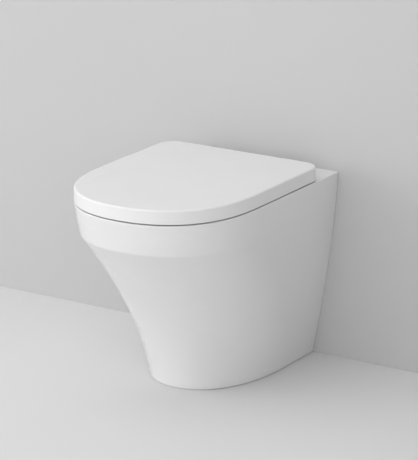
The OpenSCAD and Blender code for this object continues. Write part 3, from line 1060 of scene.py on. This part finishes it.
@dataclass(frozen=True)
class BowlShape:
    """Sizes and sections of the bowl, the sump and the trap."""

    top: float = 400.0
    mouth_half: float = 136.0
    mouth_front: float = 484.0
    mouth_back: float = 125.0
    mouth_edge: float = 7.0
    water_z: float = 144.0
    water_half: float = 56.0
    water_y: float = 274.0
    wall: float = 10.0
    trap_wall: float = 12.0
    trap_r: float = 36.0
    sump_z: float = 58.0
    sump_floor: float = 22.0
    bend_r: float = 60.0
    slope: float = 70.0
    trap_start: float = 232.0
    outlet_z: float = 180.0
    bulge: float = 2.2
    back_bulge: float = 1.5
    power: float = 2.2
    taper: float = 0.6
    water_band: float = 20.0
    under_mouth: float = 14.0
    under_rim: float = 8.0
    sides: int = 128
    trap_sides: int = 64
    sump_steps: int = 12
    bowl_steps: int = 26
    mouth_edge_steps: int = 10
    outer_sump_steps: int = 8
    outer_bowl_steps: int = 18

    def oval(self, half: float, front: float, back: float) -> list[Flat]:
        """Closed oval between a front and a back.

        Args:
            half: Half width.
            front: Distance of its front from the wall.
            back: Distance of its back from the wall.

        Returns:
            Points round it.
        """
        turns = [-2 * math.pi * i / self.sides for i in range(self.sides)]
        middle, reach = -(front + back) / 2, (front - back) / 2
        return [
            (half * signed_pow(math.cos(t), 2 / self.power),
             middle + reach * signed_pow(math.sin(t), 2 / self.power))
            for t in turns
        ]

    def bowl_ring(self, z: float, grow: float) -> list[Point]:
        """Section above the water: grow is 0 at the glazed surface.

        Args:
            z: Height.
            grow: How far it lies outside the glazed surface.

        Returns:
            Points round it.
        """
        u = (z - self.water_z) / (self.top - self.water_z)
        front, back = 1 - (1 - u) ** self.bulge, 1 - (1 - u) ** self.back_bulge
        flat = self.oval(
            lerp(self.water_half, self.mouth_half, front) + grow,
            lerp(self.water_y + self.water_half, self.mouth_front, front) + grow,
            lerp(self.water_y - self.water_half, self.mouth_back, back) - grow,
        )
        return [(x, y, z) for x, y in flat]

    def sump_ring(self, z: float, grow: float) -> list[Point]:
        """Section below the water, which closes in towards its floor.

        Args:
            z: Height.
            grow: How far it lies outside the glazed surface.

        Returns:
            Points round it.
        """
        deep = (self.water_z - z) / (self.water_z - self.sump_floor)
        half = self.water_half * (1 - self.taper * deep ** self.power)
        flat = self.oval(half + grow, self.water_y + half + grow, self.water_y - half - grow)
        return [(x, y, z) for x, y in flat]

    def inside(self) -> list[list[Point]]:
        """Rings of the glazed inside, from the floor of the sump up past the rim.

        Returns:
            The rings in order.
        """
        low, high = self.water_z + self.water_band, self.top - self.under_mouth
        rounded = quarter(self.mouth_edge, self.mouth_edge_steps)
        last = self.bowl_ring(self.top, self.mouth_edge)
        return [
            *(self.sump_ring(z, 0) for z in levels(self.sump_floor, self.water_z, self.sump_steps)),
            *(self.bowl_ring(z, 0) for z in levels(low, high, self.bowl_steps)),
            *(self.bowl_ring(self.top - drop, inset) for inset, drop in rounded),
            [(x, y, self.top + PAST) for x, y, _ in last],
        ]

    def outside(self) -> list[list[Point]]:
        """Rings of the bowl's outside, which is hidden in the shroud.

        Returns:
            The rings in order.
        """
        first = self.sump_ring(self.sump_floor, self.wall)
        sump = levels(self.sump_floor, self.water_z, self.outer_sump_steps)[1:]
        low, high = self.water_z + self.water_band, self.top - self.under_rim
        return [
            [(x, y, self.sump_floor - self.wall) for x, y, _ in first],
            *(self.sump_ring(z, self.wall) for z in sump),
            *(self.bowl_ring(z, self.wall) for z in levels(low, high, self.outer_bowl_steps)),
        ]

    def stations(self, steps: int = 14) -> list[Point]:
        """The trap's middle line, out of the sump, up and over into the outlet.

        Args:
            steps: Facets along each of its two bends.

        Returns:
            y, z and slope in radians at each station.
        """
        top, r = math.radians(self.slope), self.bend_r
        rise, run = r * (1 - math.cos(top)), r * math.sin(top)
        leg = (self.outlet_z - self.sump_z - 2 * rise) / math.tan(top)
        start, crown = -self.trap_start, -self.trap_start + 2 * run + leg
        turns = levels(0.0, top, steps)
        bend = [
            (start + r * math.sin(t), self.sump_z + r * (1 - math.cos(t)), t) for t in turns
        ]
        over = [
            (crown - r * math.sin(t), self.outlet_z - r * (1 - math.cos(t)), t)
            for t in levels(top, 0.0, steps)
        ]
        return [(-self.water_y, self.sump_z, 0.0), *bend, *over]

    def trap(self, radius: float, end: float) -> list[list[Point]]:
        """Rings of the trap as a tube of a radius, from the sump to y = end.

        Args:
            radius: Radius of the tube.
            end: y of its open end.

        Returns:
            The rings in order.
        """
        turns = [2 * math.pi * i / self.trap_sides for i in range(self.trap_sides)]
        return [
            [
                (radius * math.cos(a), y - radius * math.sin(a) * math.sin(t),
                 z + radius * math.sin(a) * math.cos(t))
                for a in turns
            ]
            for y, z, t in [*self.stations(), (end, self.outlet_z, 0.0)]
        ]


@dataclass
class Pan:
    """The ceramic pan: its outside, the space in its shroud, bowl, trap, outlet and inlet."""

    paints: Paints
    shape: PanShape = field(default_factory=PanShape)
    bowl: BowlShape = field(default_factory=BowlShape)
    spigot_r: float = 51.0
    spigot_length: float = 45.0
    spigot_setback: float = 55.0
    inlet_z: float = 340.0
    inlet_r: float = 27.5
    inlet_wall: float = 9.0
    inlet_depth: float = 40.0
    inlet_setback: float = 45.0
    throat_r: float = 19.0
    bolt_x: float = 77.5
    bolt_y: float = -56.0
    bolt_hole_r: float = 7.0
    bolt_low: float = 380.0
    bolt_high: float = 402.0
    lug_x: float = 100.0
    lug_y: float = -110.0
    lug_half: float = 15.0
    lug_reach: float = 60.0
    lug_low: float = 12.0
    lug_high: float = 50.0
    insert_z: float = 32.0
    insert_r: float = 6.55
    insert_length: float = 22.0
    hole_sides: int = 48
    back_edge: float = 3.0
    back_edge_steps: int = 4
    rim_border: float = 1.5
    spigot_edge: float = 3.0
    inlet_edge: float = 2.5
    trap_end: float = -81.1
    space_steps: int = 30
    throat_past: float = 20.0
    smooth_angle: float = 38.0
    glaze_reach: float = 6.0
    glaze_stop: float = 0.5
    bowl_reach: float = 2.0

    def _outside(self) -> bpy.types.Object:
        """The full outside as a solid block, with its edges rounded.

        Returns:
            The block.
        """
        shape = self.shape
        low, high = shape.crease_z - shape.crease_soft, shape.crease_z + shape.crease_soft
        band_top = shape.height - shape.rim_edge
        heights = [
            *levels(shape.foot_edge, low, shape.flare_steps)[1:],
            *levels(low, high, shape.crease_steps)[1:],
            *levels(high, band_top, shape.band_steps)[1:-1],
        ]
        foot = reversed(quarter(shape.foot_edge, shape.foot_edge_steps))
        rim = quarter(shape.rim_edge, shape.rim_edge_steps)
        rings = [
            *(shape.ring(drop, inset) for inset, drop in foot),
            *(shape.ring(z) for z in heights),
            *(shape.ring(shape.height - drop, inset) for inset, drop in rim),
        ]
        made = skin("pan_ceramic", rings, rim=self.rim_border)
        bevel_where(made, self._on_back_corner, self.back_edge, self.back_edge_steps)
        return made

    @staticmethod
    def _on_back_corner(a: Vector, b: Vector) -> bool:
        """Tells the upright edges at the wall.

        Args:
            a: One end of an edge.
            b: Its other end.

        Returns:
            True for an upright edge at the wall.
        """
        at_wall = min(a.y, b.y) > WALL_Y * MM - MERGE
        upright = abs(a.z - b.z) > abs(a.x - b.x)
        return at_wall and upright and a.x * b.x > 0

    def _space(self) -> bpy.types.Object:
        """The space inside the shroud, open at the floor and at the wall.

        Returns:
            A solid to take from the pan, without what stands in the space.
        """
        shape, bowl = self.shape, self.bowl
        heights = [-PAST, *levels(0.0, shape.height - shape.deck_wall, self.space_steps)]
        rings = [shape.ring(z, shape.shroud_wall, PAST) for z in heights]
        made = skin("shroud_space", rings)
        lug = block("lug", (self.lug_x, self.lug_y - self.lug_half, self.lug_low),
                    (self.lug_x + self.lug_reach, self.lug_y + self.lug_half, self.lug_high))
        spigot, inlet = -self.spigot_setback, -self.inlet_setback
        z, inlet_r = bowl.outlet_z, self.inlet_r + self.inlet_wall
        keeps = [
            skin("bowl_outside", bowl.outside()),
            skin("trap_outside", bowl.trap(bowl.trap_r + bowl.trap_wall, self.trap_end)),
            rod("spigot", (0, spigot, z), (0, spigot - self.spigot_length, z),
                self.spigot_r, edge=self.spigot_edge),
            rod("inlet_outside", (0, inlet, self.inlet_z),
                (0, -bowl.mouth_back - bowl.wall, self.inlet_z), inlet_r, edge=self.inlet_edge),
            *both_sides(lug),
        ]
        combine(made, keeps, Cut.TAKE)
        return made

    def _holes(self) -> list[bpy.types.Object]:
        """The ways through the ceramic: bowl, trap, inlet, throat and fixing holes.

        Returns:
            Solids to take from the pan.
        """
        bowl, mouth, z = self.bowl, -self.inlet_setback, self.inlet_z
        reach = -bowl.mouth_back - self.throat_past
        made = [
            skin("bowl_inside", bowl.inside()),
            skin("trap_inside", bowl.trap(bowl.trap_r, PAST - self.spigot_setback)),
            rod("socket", (0, mouth + PAST, z), (0, mouth - self.inlet_depth, z), self.inlet_r),
            rod("throat", (0, mouth, z), (0, reach, z), self.throat_r),
        ]
        x, y, sides = self.bolt_x, self.bolt_y, self.hole_sides
        bolt_way = rod("bolt_way", (x, y, self.bolt_low), (x, y, self.bolt_high),
                       self.bolt_hole_r, sides)
        x, y, z = self.lug_x, self.lug_y, self.insert_z
        insert_way = rod("insert_way", (x - PAST, y, z), (x + self.insert_length, y, z),
                         self.insert_r, sides)
        return [*made, *both_sides(bolt_way), *both_sides(insert_way)]

    def _is_raw(self, centre: Vector) -> bool:
        """Tells a face that the glaze does not reach, as inside the shroud and underneath.

        Args:
            centre: The face's middle.

        Returns:
            True for raw china.
        """
        x, y, z = centre.x / MM, centre.y / MM - WALL_Y, centre.z / MM
        if z < self.glaze_stop or y > -self.glaze_stop:
            return True
        if z > self.shape.height - self.shape.deck_wall + PAST:
            return False
        return self._inside_outline(x, y, z) and not self._in_bowl(x, y, z)

    def _inside_outline(self, x: float, y: float, z: float) -> bool:
        """Tells a point well inside the pan's outside.

        Args:
            x: Its place across.
            y: Its place from the wall.
            z: Its height.

        Returns:
            True where it lies more than glaze_reach inside.
        """
        shape, reach = self.shape, self.glaze_reach
        half, front = shape.side_at(z) - reach, shape.front_at(z) - reach
        if not (abs(x) < half and -y < front):
            return False
        t = 1 - z / shape.height
        length = lerp(shape.rim_nose, shape.foot_nose, t)
        if -y <= front - length:
            return True
        side, nose = shape.powers(t)
        return (abs(x) / half) ** side + ((-y - front + length) / length) ** nose < 1

    def _in_bowl(self, x: float, y: float, z: float) -> bool:
        """Tells a point on the glazed inside of the bowl or the sump.

        Args:
            x: Its place across.
            y: Its place from the wall.
            z: Its height.

        Returns:
            True where it lies less than bowl_reach outside the glazed surface.
        """
        bowl, reach = self.bowl, self.bowl_reach
        if z < bowl.sump_floor - PAST:
            return False
        if z > bowl.water_z:
            ring = bowl.bowl_ring(z, reach)
        else:
            ring = bowl.sump_ring(max(z, bowl.sump_floor), reach)
        half = max(p[0] for p in ring)
        low, high = min(p[1] for p in ring), max(p[1] for p in ring)
        middle, length = (low + high) / 2, (high - low) / 2
        return (abs(x) / half) ** bowl.power + (abs(y - middle) / length) ** bowl.power < 1

    def build(self) -> None:
        """Builds the pan and dresses it in glaze, with raw china where the glaze stops."""
        made = self._outside()
        combine(made, [self._space(), *self._holes()], Cut.TAKE)
        turn_outward(made)
        smooth(made, self.smooth_angle)
        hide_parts("pan")
        self.paints.dress(made, Slot.GLAZE, Body.PAN)
        made.data.materials.append(self.paints.bisque)
        for face in made.data.polygons:
            face.material_index = int(self._is_raw(face.center))


# ------------------------------------------------------------ seat and lid


@dataclass(frozen=True)
class CoverShape:
    """Outline that the seat and the lid share, with its rounded back corners."""

    half: float = 185.0
    depth: float = 533.0
    nose: float = 238.0
    corner: float = 36.0
    side_power: float = 2.15
    front_power: float = 2.75
    nose_steps: int = 56
    corner_steps: int = 12
    side_steps: int = 4

    def outline(self, back: float, inset: float) -> list[Flat]:
        """Outline drawn in from the edge of the rim.

        Args:
            back: Distance from the wall to the back edge.
            inset: How far the sides and the front are drawn in.

        Returns:
            Points round it, from the middle of the back edge.
        """
        half, front, r = self.half - inset, self.depth - inset, self.corner - inset
        turns = [math.pi / 2 * (1 - i / self.corner_steps) for i in range(self.corner_steps + 1)]
        start, powers = -(front - self.nose), (self.side_power, self.front_power)
        whole = mirrored([
            *((x, -back) for x in levels(0.0, half - r, self.side_steps)[:-1]),
            *((half - r + r * math.cos(a), -(back + r) + r * math.sin(a)) for a in turns),
            *((half, y) for y in levels(-(back + r), start, self.side_steps)[1:-1]),
            *nose_curve(half, start, self.nose, powers, self.nose_steps),
        ])
        return whole[:-1]


@dataclass(frozen=True)
class Knuckle:
    """A barrel round the hinge axis with an arm that reaches forward from it."""

    axis_y: float = -56.0
    axis_z: float = 419.0
    radius: float = 7.5
    length: float = 36.0
    bore_r: float = 5.5
    wall: float = 2.0
    sides: int = 64
    barrel_edge: float = 0.8
    arm_edge: float = 0.6

    def solids(self, start: float, reach: float, top: float) -> list[bpy.types.Object]:
        """Barrels with their arms on both sides.

        Args:
            start: x of the right barrel's inner end.
            reach: How far the arm reaches forward from the axis.
            top: How far it reaches above the axis.

        Returns:
            The right one and the left one.
        """
        y, z, end, r = self.axis_y, self.axis_z, start + self.length, self.radius
        barrel = rod("barrel", (start, y, z), (end, y, z), r, self.sides, self.barrel_edge)
        arm = block("arm", (start, y - reach, z - r), (end, y, z + top), self.arm_edge)
        combine(barrel, [arm], Cut.ADD)
        return both_sides(barrel)

    def bores(self, face: float, inward: int) -> list[bpy.types.Object]:
        """The bores of both sides, closed at their far ends.

        Args:
            face: x of the right knuckle's open end.
            inward: 1 where the bore runs away from the middle and -1 where it runs towards it.

        Returns:
            The right one and the left one.
        """
        near, far = face - inward * PAST, face + inward * (self.length - self.wall)
        y, z = self.axis_y, self.axis_z
        return both_sides(rod("bore", (near, y, z), (far, y, z), self.bore_r, self.sides))


@dataclass
class Seat:
    """The seat ring with its arms and knuckles."""

    paints: Paints
    cover: CoverShape = field(default_factory=CoverShape)
    knuckle: Knuckle = field(default_factory=Knuckle)
    back: float = 79.43
    inset: float = 5.5
    low: float = 405.0
    top: float = 422.0
    foot_edge: float = 1.5
    top_edge: float = 5.0
    top_flat: float = 2.0
    foot_steps: int = 3
    top_steps: int = 8
    hole_front: float = 447.5
    hole_back: float = 154.5
    hole_half: float = 115.0
    hole_power: float = 2.2
    ring_front: float = 60.0
    ring_side: float = 55.0
    knuckle_x: float = 86.0
    arm_reach: float = 27.43
    arm_top: float = 2.0

    def _edge(self, edge: float, z: float) -> list[Point]:
        """Ring on the outside, drawn in by edge."""
        return [(x, y, z) for x, y in self.cover.outline(self.back + edge, self.inset + edge)]

    def _hole(self, grow: float, z: float) -> list[Point]:
        """Ring on the opening, with its points in step with the outside's.

        Args:
            grow: How far it is widened.
            z: Height.

        Returns:
            Points round it.
        """
        middle = -(self.hole_front + self.hole_back) / 2
        half, reach = self.hole_half, (self.hole_front - self.hole_back) / 2
        power = 2 / self.hole_power
        made = []
        for x, y, _ in self._edge(0.0, z):
            turn = math.atan2((y - middle) / (reach + self.ring_front), x / (half + self.ring_side))
            made.append((
                (half + grow) * signed_pow(math.cos(turn), power),
                middle + (reach + grow) * signed_pow(math.sin(turn), power),
                z,
            ))
        return made

    def build(self) -> None:
        """Builds the seat and dresses it."""
        rounded = quarter(self.top_edge, self.top_steps)
        foot = quarter(self.foot_edge, self.foot_steps)
        land = self.top_edge + self.top_flat
        rings = [
            *(self._edge(i, self.low + d) for i, d in reversed(foot)),
            *(self._edge(i, self.top - d) for i, d in rounded),
            self._edge(land, self.top),
            self._hole(land, self.top),
            *(self._hole(i, self.top - d) for i, d in reversed(rounded)),
            *(self._hole(i, self.low + d) for i, d in foot),
        ]
        seat = skin("seat_ring_moulding", rings, hollow=True)
        combine(seat, self.knuckle.solids(self.knuckle_x, self.arm_reach, self.arm_top), Cut.ADD)
        combine(seat, self.knuckle.bores(self.knuckle_x, 1), Cut.TAKE)
        turn_outward(seat)
        smooth(seat, MOULDING_ANGLE)
        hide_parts("seat_ring")
        self.paints.dress(seat, Slot.SEAT, Body.SEAT)


@dataclass
class Lid:
    """The wrap-over lid with its skirt, knuckles and the notches for the seat's arms."""

    paints: Paints
    cover: CoverShape = field(default_factory=CoverShape)
    knuckle: Knuckle = field(default_factory=Knuckle)
    back: float = 67.0
    low: float = 403.0
    top: float = 431.0
    wall: float = 4.0
    top_edge: float = 3.5
    inner_edge: float = 2.5
    lip_edge: float = 0.4
    top_border: float = 1.5
    top_steps: int = 10
    inner_steps: int = 5
    lip_steps: int = 3
    knuckle_x: float = 69.0
    notch_low: float = 84.8
    notch_high: float = 123.2
    notch_top: float = 422.2
    notch_front: float = 1.3
    notch_back: float = 1.2
    notch_under: float = 1.1

    def _edge(self, inset: float, z: float) -> list[Point]:
        """Ring on the lid, drawn in by inset."""
        return [(x, y, z) for x, y in self.cover.outline(self.back + inset, inset)]

    def build(self) -> None:
        """Builds the lid and dresses it."""
        wall, under = self.wall, self.top - self.wall
        inner = quarter(self.inner_edge, self.inner_steps)
        lip = quarter(self.lip_edge, self.lip_steps)
        rings = [
            *(self._edge(wall + i, under - d) for i, d in reversed(inner)),
            *(self._edge(wall - i, self.low + d) for i, d in lip),
            *(self._edge(i, self.low + d) for i, d in reversed(lip)),
            *(self._edge(i, self.top - d) for i, d in quarter(self.top_edge, self.top_steps)),
        ]
        lid = skin("lid_moulding", rings, rim=self.top_border)
        front, back = -self.back - wall - self.notch_front, -self.back + self.notch_back
        notch = block("notch", (self.notch_low, front, self.low - self.notch_under),
                      (self.notch_high, back, self.notch_top))
        combine(lid, both_sides(notch), Cut.TAKE)
        knuckle = self.knuckle
        start, arm = self.knuckle_x - knuckle.length, self.back + knuckle.axis_y + wall / 2
        combine(lid, knuckle.solids(start, arm, knuckle.radius), Cut.ADD)
        combine(lid, knuckle.bores(self.knuckle_x, -1), Cut.TAKE)
        turn_outward(lid)
        smooth(lid, MOULDING_ANGLE)
        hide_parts("lid_cover")
        self.paints.dress(lid, Slot.SEAT, Body.LID)


# ---------------------------------------------------------------- fittings


@dataclass(frozen=True)
class Fitting:
    """A CAD node that is shown with its edges softened."""

    node: str
    piece: str
    slot: Slot
    body: Body
    edge: float


FITTINGS = (
    *(
        Fitting(f"{node}_{side}", f"{piece}_{side}", slot, Body.PAN, edge)
        for node, piece, slot, edge in (
            ("hinge_post", "hinge_post_cast", Slot.CHROME, 0.7),
            ("hinge_base", "hinge_base_cast", Slot.CHROME, 0.5),
            ("floor_bracket", "floor_bracket_folded", Slot.ZINC, 0.5),
        )
        for side in SIDES
    ),
    *(
        Fitting(f"release_button_{side}", f"release_button_turned_{side}", Slot.CHROME, body, 0.4)
        for side, body in zip(SIDES, (Body.LEFT_BUTTON, Body.RIGHT_BUTTON))
    ),
    Fitting("seat_buffers", "seat_buffers_moulded", Slot.CLEAR_RUBBER, Body.SEAT, 1.2),
    Fitting("lid_buffers", "lid_buffers_moulded", Slot.CLEAR_RUBBER, Body.LID, 1.2),
    Fitting("inlet_seal", "inlet_seal_moulded", Slot.BLACK_RUBBER, Body.PAN, 1.2),
    Fitting("hinge_nuts", "hinge_nuts_moulded", Slot.NYLON, Body.PAN, 0.6),
    Fitting("bracket_bolts", "bracket_bolts_turned", Slot.ZINC, Body.PAN, 0.6),
    Fitting("hinge_bolts", "hinge_bolts_turned", Slot.ZINC, Body.PAN, 0.4),
)

PLAIN_NODES = {
    "bracket_inserts": Slot.NYLON,
    "hinge_pads": Slot.BLACK_RUBBER,
    "hinge_pin_left": Slot.PIN,
    "hinge_pin_right": Slot.PIN,
    "hinge_bushes": Slot.BLACK_RUBBER,
    "hinge_washers": Slot.ZINC,
    "seat_damper": Slot.DAMPER,
    "seat_bearing": Slot.NYLON,
    "lid_damper": Slot.DAMPER,
    "lid_bearing": Slot.NYLON,
}


@dataclass
class Fittings:
    """Hinges, fixings, buffers and the seal, from the CAD nodes."""

    paints: Paints

    def build(self) -> None:
        """Softens the fittings that show edges and paints the rest."""
        for item in FITTINGS:
            made = softened(item.piece, item.node, item.edge)
            smooth(made, EDGE_ANGLE)
            self.paints.dress(made, item.slot, item.body)
        for node, slot in PLAIN_NODES.items():
            self.paints.repaint(node, slot)


@dataclass
class Spring:
    """A coil spring behind a release button, in the space of its CAD tube."""

    paints: Paints
    side: str
    wire: float = 0.8
    pitch: float = 1.3
    travel: float = 2.0
    steps: int = 24
    wire_sides: int = 12
    smooth_angle: float = 60.0

    def build(self) -> None:
        """Winds the spring by screwing a small circle along its axis, and dresses it."""
        node, joint = f"release_spring_{self.side}", f"{self.side}_button_press"
        low, high = (Vector(corner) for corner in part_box(node))
        middle, length = (low + high) / 2, high.x - low.x
        radius, wire = (high.z - low.z) / 2, self.wire * MM
        turns = round((length - wire) / (self.pitch * MM))
        bpy.ops.object.select_all(action="DESELECT")
        bpy.ops.mesh.primitive_circle_add(
            vertices=self.wire_sides, radius=wire / 2, location=(0, 0, radius - wire / 2),
        )
        made = named_new(f"release_spring_wound_{self.side}")
        freeze(made)
        made.location = (low.x + wire / 2, middle.y, middle.z)
        apply_modifier(
            made, "SCREW", axis="X", angle=math.tau, iterations=turns, steps=self.steps,
            render_steps=self.steps, screw_offset=(length - wire) / turns, use_merge_vertices=True,
        )
        freeze(made)
        only(made)
        bpy.ops.object.mode_set(mode="EDIT")
        bpy.ops.mesh.select_all(action="DESELECT")
        bpy.ops.mesh.select_non_manifold()
        bpy.ops.mesh.edge_face_add()
        bpy.ops.object.mode_set(mode="OBJECT")
        turn_outward(made)
        smooth(made, self.smooth_angle, weighted=False)
        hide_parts(node)
        self.paints.dress(made, Slot.PIN, Body.PAN)
        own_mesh(made)


# ------------------------------------------------------------------ studio


@dataclass(frozen=True)
class Lamp:
    """A soft rectangular lamp aimed at the object."""

    name: str
    place: Point
    aim: Point
    size: Flat
    watts: float


LAMPS = (
    Lamp("left_softbox", (-2.6, -2.2, 1.9), (0.0, 0.0, 0.3), (4.0, 3.6), 33.0),
    Lamp("side_softbox", (-3.2, -1.0, 1.6), (0.0, 0.0, 0.3), (2.0, 2.0), 18.5),
    Lamp("low_softbox", (-2.2, -2.0, 0.9), (0.0, 0.0, 0.25), (1.6, 1.6), 17.5),
    Lamp("top_softbox", (-0.4, -0.6, 3.2), (0.0, 0.0, 0.3), (2.8, 2.8), 38.0),
    Lamp("right_softbox", (2.2, -3.2, 1.4), (0.0, 0.0, 0.3), (2.6, 2.6), 17.0),
    Lamp("near_softbox", (1.2, -1.9, 1.5), (0.0, 0.0, 0.35), (2.4, 2.4), 23.5),
    Lamp("front_softbox", (-0.6, -4.2, 1.3), (0.0, 0.0, 0.3), (2.4, 2.4), 16.0),
    Lamp("rear_softbox", (1.2, 3.6, 1.6), (0.0, 0.2, 0.2), (2.0, 2.0), 70.0),
)


@dataclass
class Studio:
    """Floor, wall, lamps, world and the camera at the photograph's viewing angle."""

    camera_place: Point = (2.61237, -4.08240, 1.80238)
    camera_turn: Point = (72.931, 0.0, 32.206)
    lens: float = 198.34
    sensor: float = 36.0
    floor_grey: float = 0.71
    wall_grey: float = 0.56
    world_grey: float = 0.055
    sheet_size: float = 30.0
    wall_gap: float = 0.4
    grain: float = 0.01
    grain_scale: float = 1.5
    roughness: float = 0.9
    shine: float = 0.1
    side_margin: float = 2.2
    top_margin: float = 0.8

    def _plane(self, name: str, material: bpy.types.Material) -> bpy.types.Object:
        """A large flat sheet of the studio.

        Args:
            name: Name of the sheet.
            material: Its material.

        Returns:
            The sheet, lying on the floor.
        """
        bpy.ops.object.select_all(action="DESELECT")
        bpy.ops.mesh.primitive_plane_add(size=self.sheet_size)
        made = named_new(name)
        made.data.materials.append(material)
        return made

    def _paint(self, name: str, grey: float) -> bpy.types.Material:
        """Matt studio paint with a faint unevenness.

        Args:
            name: Name of the material.
            grey: Its middle grey.

        Returns:
            The material.
        """
        made = bpy.data.materials.new(name)
        made.use_nodes = True
        wire = Wire(made.node_tree)
        shader = made.node_tree.nodes["Principled BSDF"]
        where, noise = wire.add("ShaderNodeTexCoord"), wire.add("ShaderNodeTexNoise")
        noise.inputs["Scale"].default_value = self.grain_scale
        wire.feed(where, noise, Vector="Object")
        low, high = ((grey * (1 + change),) * 3 + (1.0,) for change in (-self.grain, self.grain))
        wire.join(wire.blend(noise.outputs["Fac"], low, high), shader.inputs["Base Color"])
        shader.inputs["Roughness"].default_value = self.roughness
        shader.inputs["Specular IOR Level"].default_value = self.shine
        return made

    def _behind_pan(self, wire: Wire) -> bpy.types.NodeSocket:
        """Where the pan's back covers the wall.

        Args:
            wire: Tree of the wall's paint.

        Returns:
            1 behind the pan and 0 elsewhere.
        """
        shape = PanShape()
        where, axes = wire.add("ShaderNodeTexCoord"), wire.add("ShaderNodeSeparateXYZ")
        wire.feed(where, axes, Vector="Object")
        x, z = axes.outputs["X"], axes.outputs["Z"]
        share = wire.calc("DIVIDE", z, shape.height * MM)
        drop = wire.calc("MAXIMUM", wire.calc("SUBTRACT", 1.0, share), 0.0)
        taper = wire.calc("POWER", drop, shape.waist_power)
        narrower = wire.calc("MULTIPLY", taper, (shape.rim_half - shape.foot_half) * MM)
        half = wire.calc("SUBTRACT", (shape.rim_half - self.side_margin) * MM, narrower)
        across = wire.calc("GREATER_THAN", half, wire.calc("ABSOLUTE", x))
        below = wire.calc("LESS_THAN", z, (shape.height - self.top_margin) * MM)
        return wire.calc("MULTIPLY", across, below)

    def _wall_paint(self) -> bpy.types.Material:
        """The wall's paint.

        A camera behind the wall looks through it, and light from behind passes where the pan
        hides the wall, so that the pan's back is lit as it is before the pan is fitted. The two
        margins keep that opening inside the pan's outline.

        Returns:
            The material.
        """
        made = self._paint("wall paint", self.wall_grey)
        wire, nodes = Wire(made.node_tree), made.node_tree.nodes
        side, ray = wire.add("ShaderNodeNewGeometry"), wire.add("ShaderNodeLightPath")
        seen = ray.outputs["Is Camera Ray"]
        behind = wire.calc("MULTIPLY", side.outputs["Backfacing"], seen)
        clear_share = wire.calc("MAXIMUM", self._behind_pan(wire), behind)
        clear, mix = wire.add("ShaderNodeBsdfTransparent"), wire.add("ShaderNodeMixShader")
        paint = nodes["Principled BSDF"]
        for number, value in enumerate((clear_share, paint.outputs[0], clear.outputs[0])):
            wire.join(value, mix.inputs[number])
        wire.join(mix.outputs[0], nodes["Material Output"].inputs["Surface"])
        return made

    def _light(self, lamp: Lamp) -> None:
        """Adds a lamp and aims it.

        Args:
            lamp: The lamp.
        """
        bpy.ops.object.light_add(type="AREA", location=lamp.place)
        made = bpy.context.active_object
        made.name = lamp.name
        made.data.shape = "RECTANGLE"
        made.data.size, made.data.size_y = lamp.size
        made.data.energy = lamp.watts
        aim = Vector(lamp.aim) - Vector(lamp.place)
        made.rotation_euler = aim.to_track_quat("-Z", "Y").to_euler()

    def _world(self) -> None:
        """Sets the even light from all around, and plain colours."""
        grey = (self.world_grey,) * 3 + (1,)
        world = bpy.data.worlds.new("studio")
        world.use_nodes = True
        world.node_tree.nodes["Background"].inputs["Color"].default_value = grey
        bpy.context.scene.world = world
        bpy.context.scene.view_settings.view_transform = "Standard"

    def _camera(self) -> None:
        """Adds the camera where the photograph was taken from."""
        turn = [math.radians(a) for a in self.camera_turn]
        bpy.ops.object.camera_add(location=self.camera_place, rotation=turn)
        camera = bpy.context.active_object
        camera.name = "photo_camera"
        camera.data.lens = self.lens
        camera.data.sensor_width = self.sensor
        bpy.context.scene.camera = camera

    def build(self) -> None:
        """Sets up the whole studio."""
        freeze(self._plane("studio_floor", self._paint("floor paint", self.floor_grey)))
        wall = self._plane("studio_wall", self._wall_paint())
        wall.rotation_euler = (math.pi / 2, 0, 0)
        wall.location = (0, (WALL_Y + self.wall_gap) * MM, 0)
        freeze(wall)
        for lamp in LAMPS:
            self._light(lamp)
        self._world()
        self._camera()


def main() -> None:
    """Builds every part of the object and the studio."""
    logging.basicConfig(level=logging.INFO, format="%(message)s")
    paints = Paints()
    springs = [Spring(paints, side) for side in SIDES]
    for part in (Pan(paints), Seat(paints), Lid(paints), Fittings(paints), *springs):
        part.build()
    Studio().build()


if __name__ == "__main__":
    main()
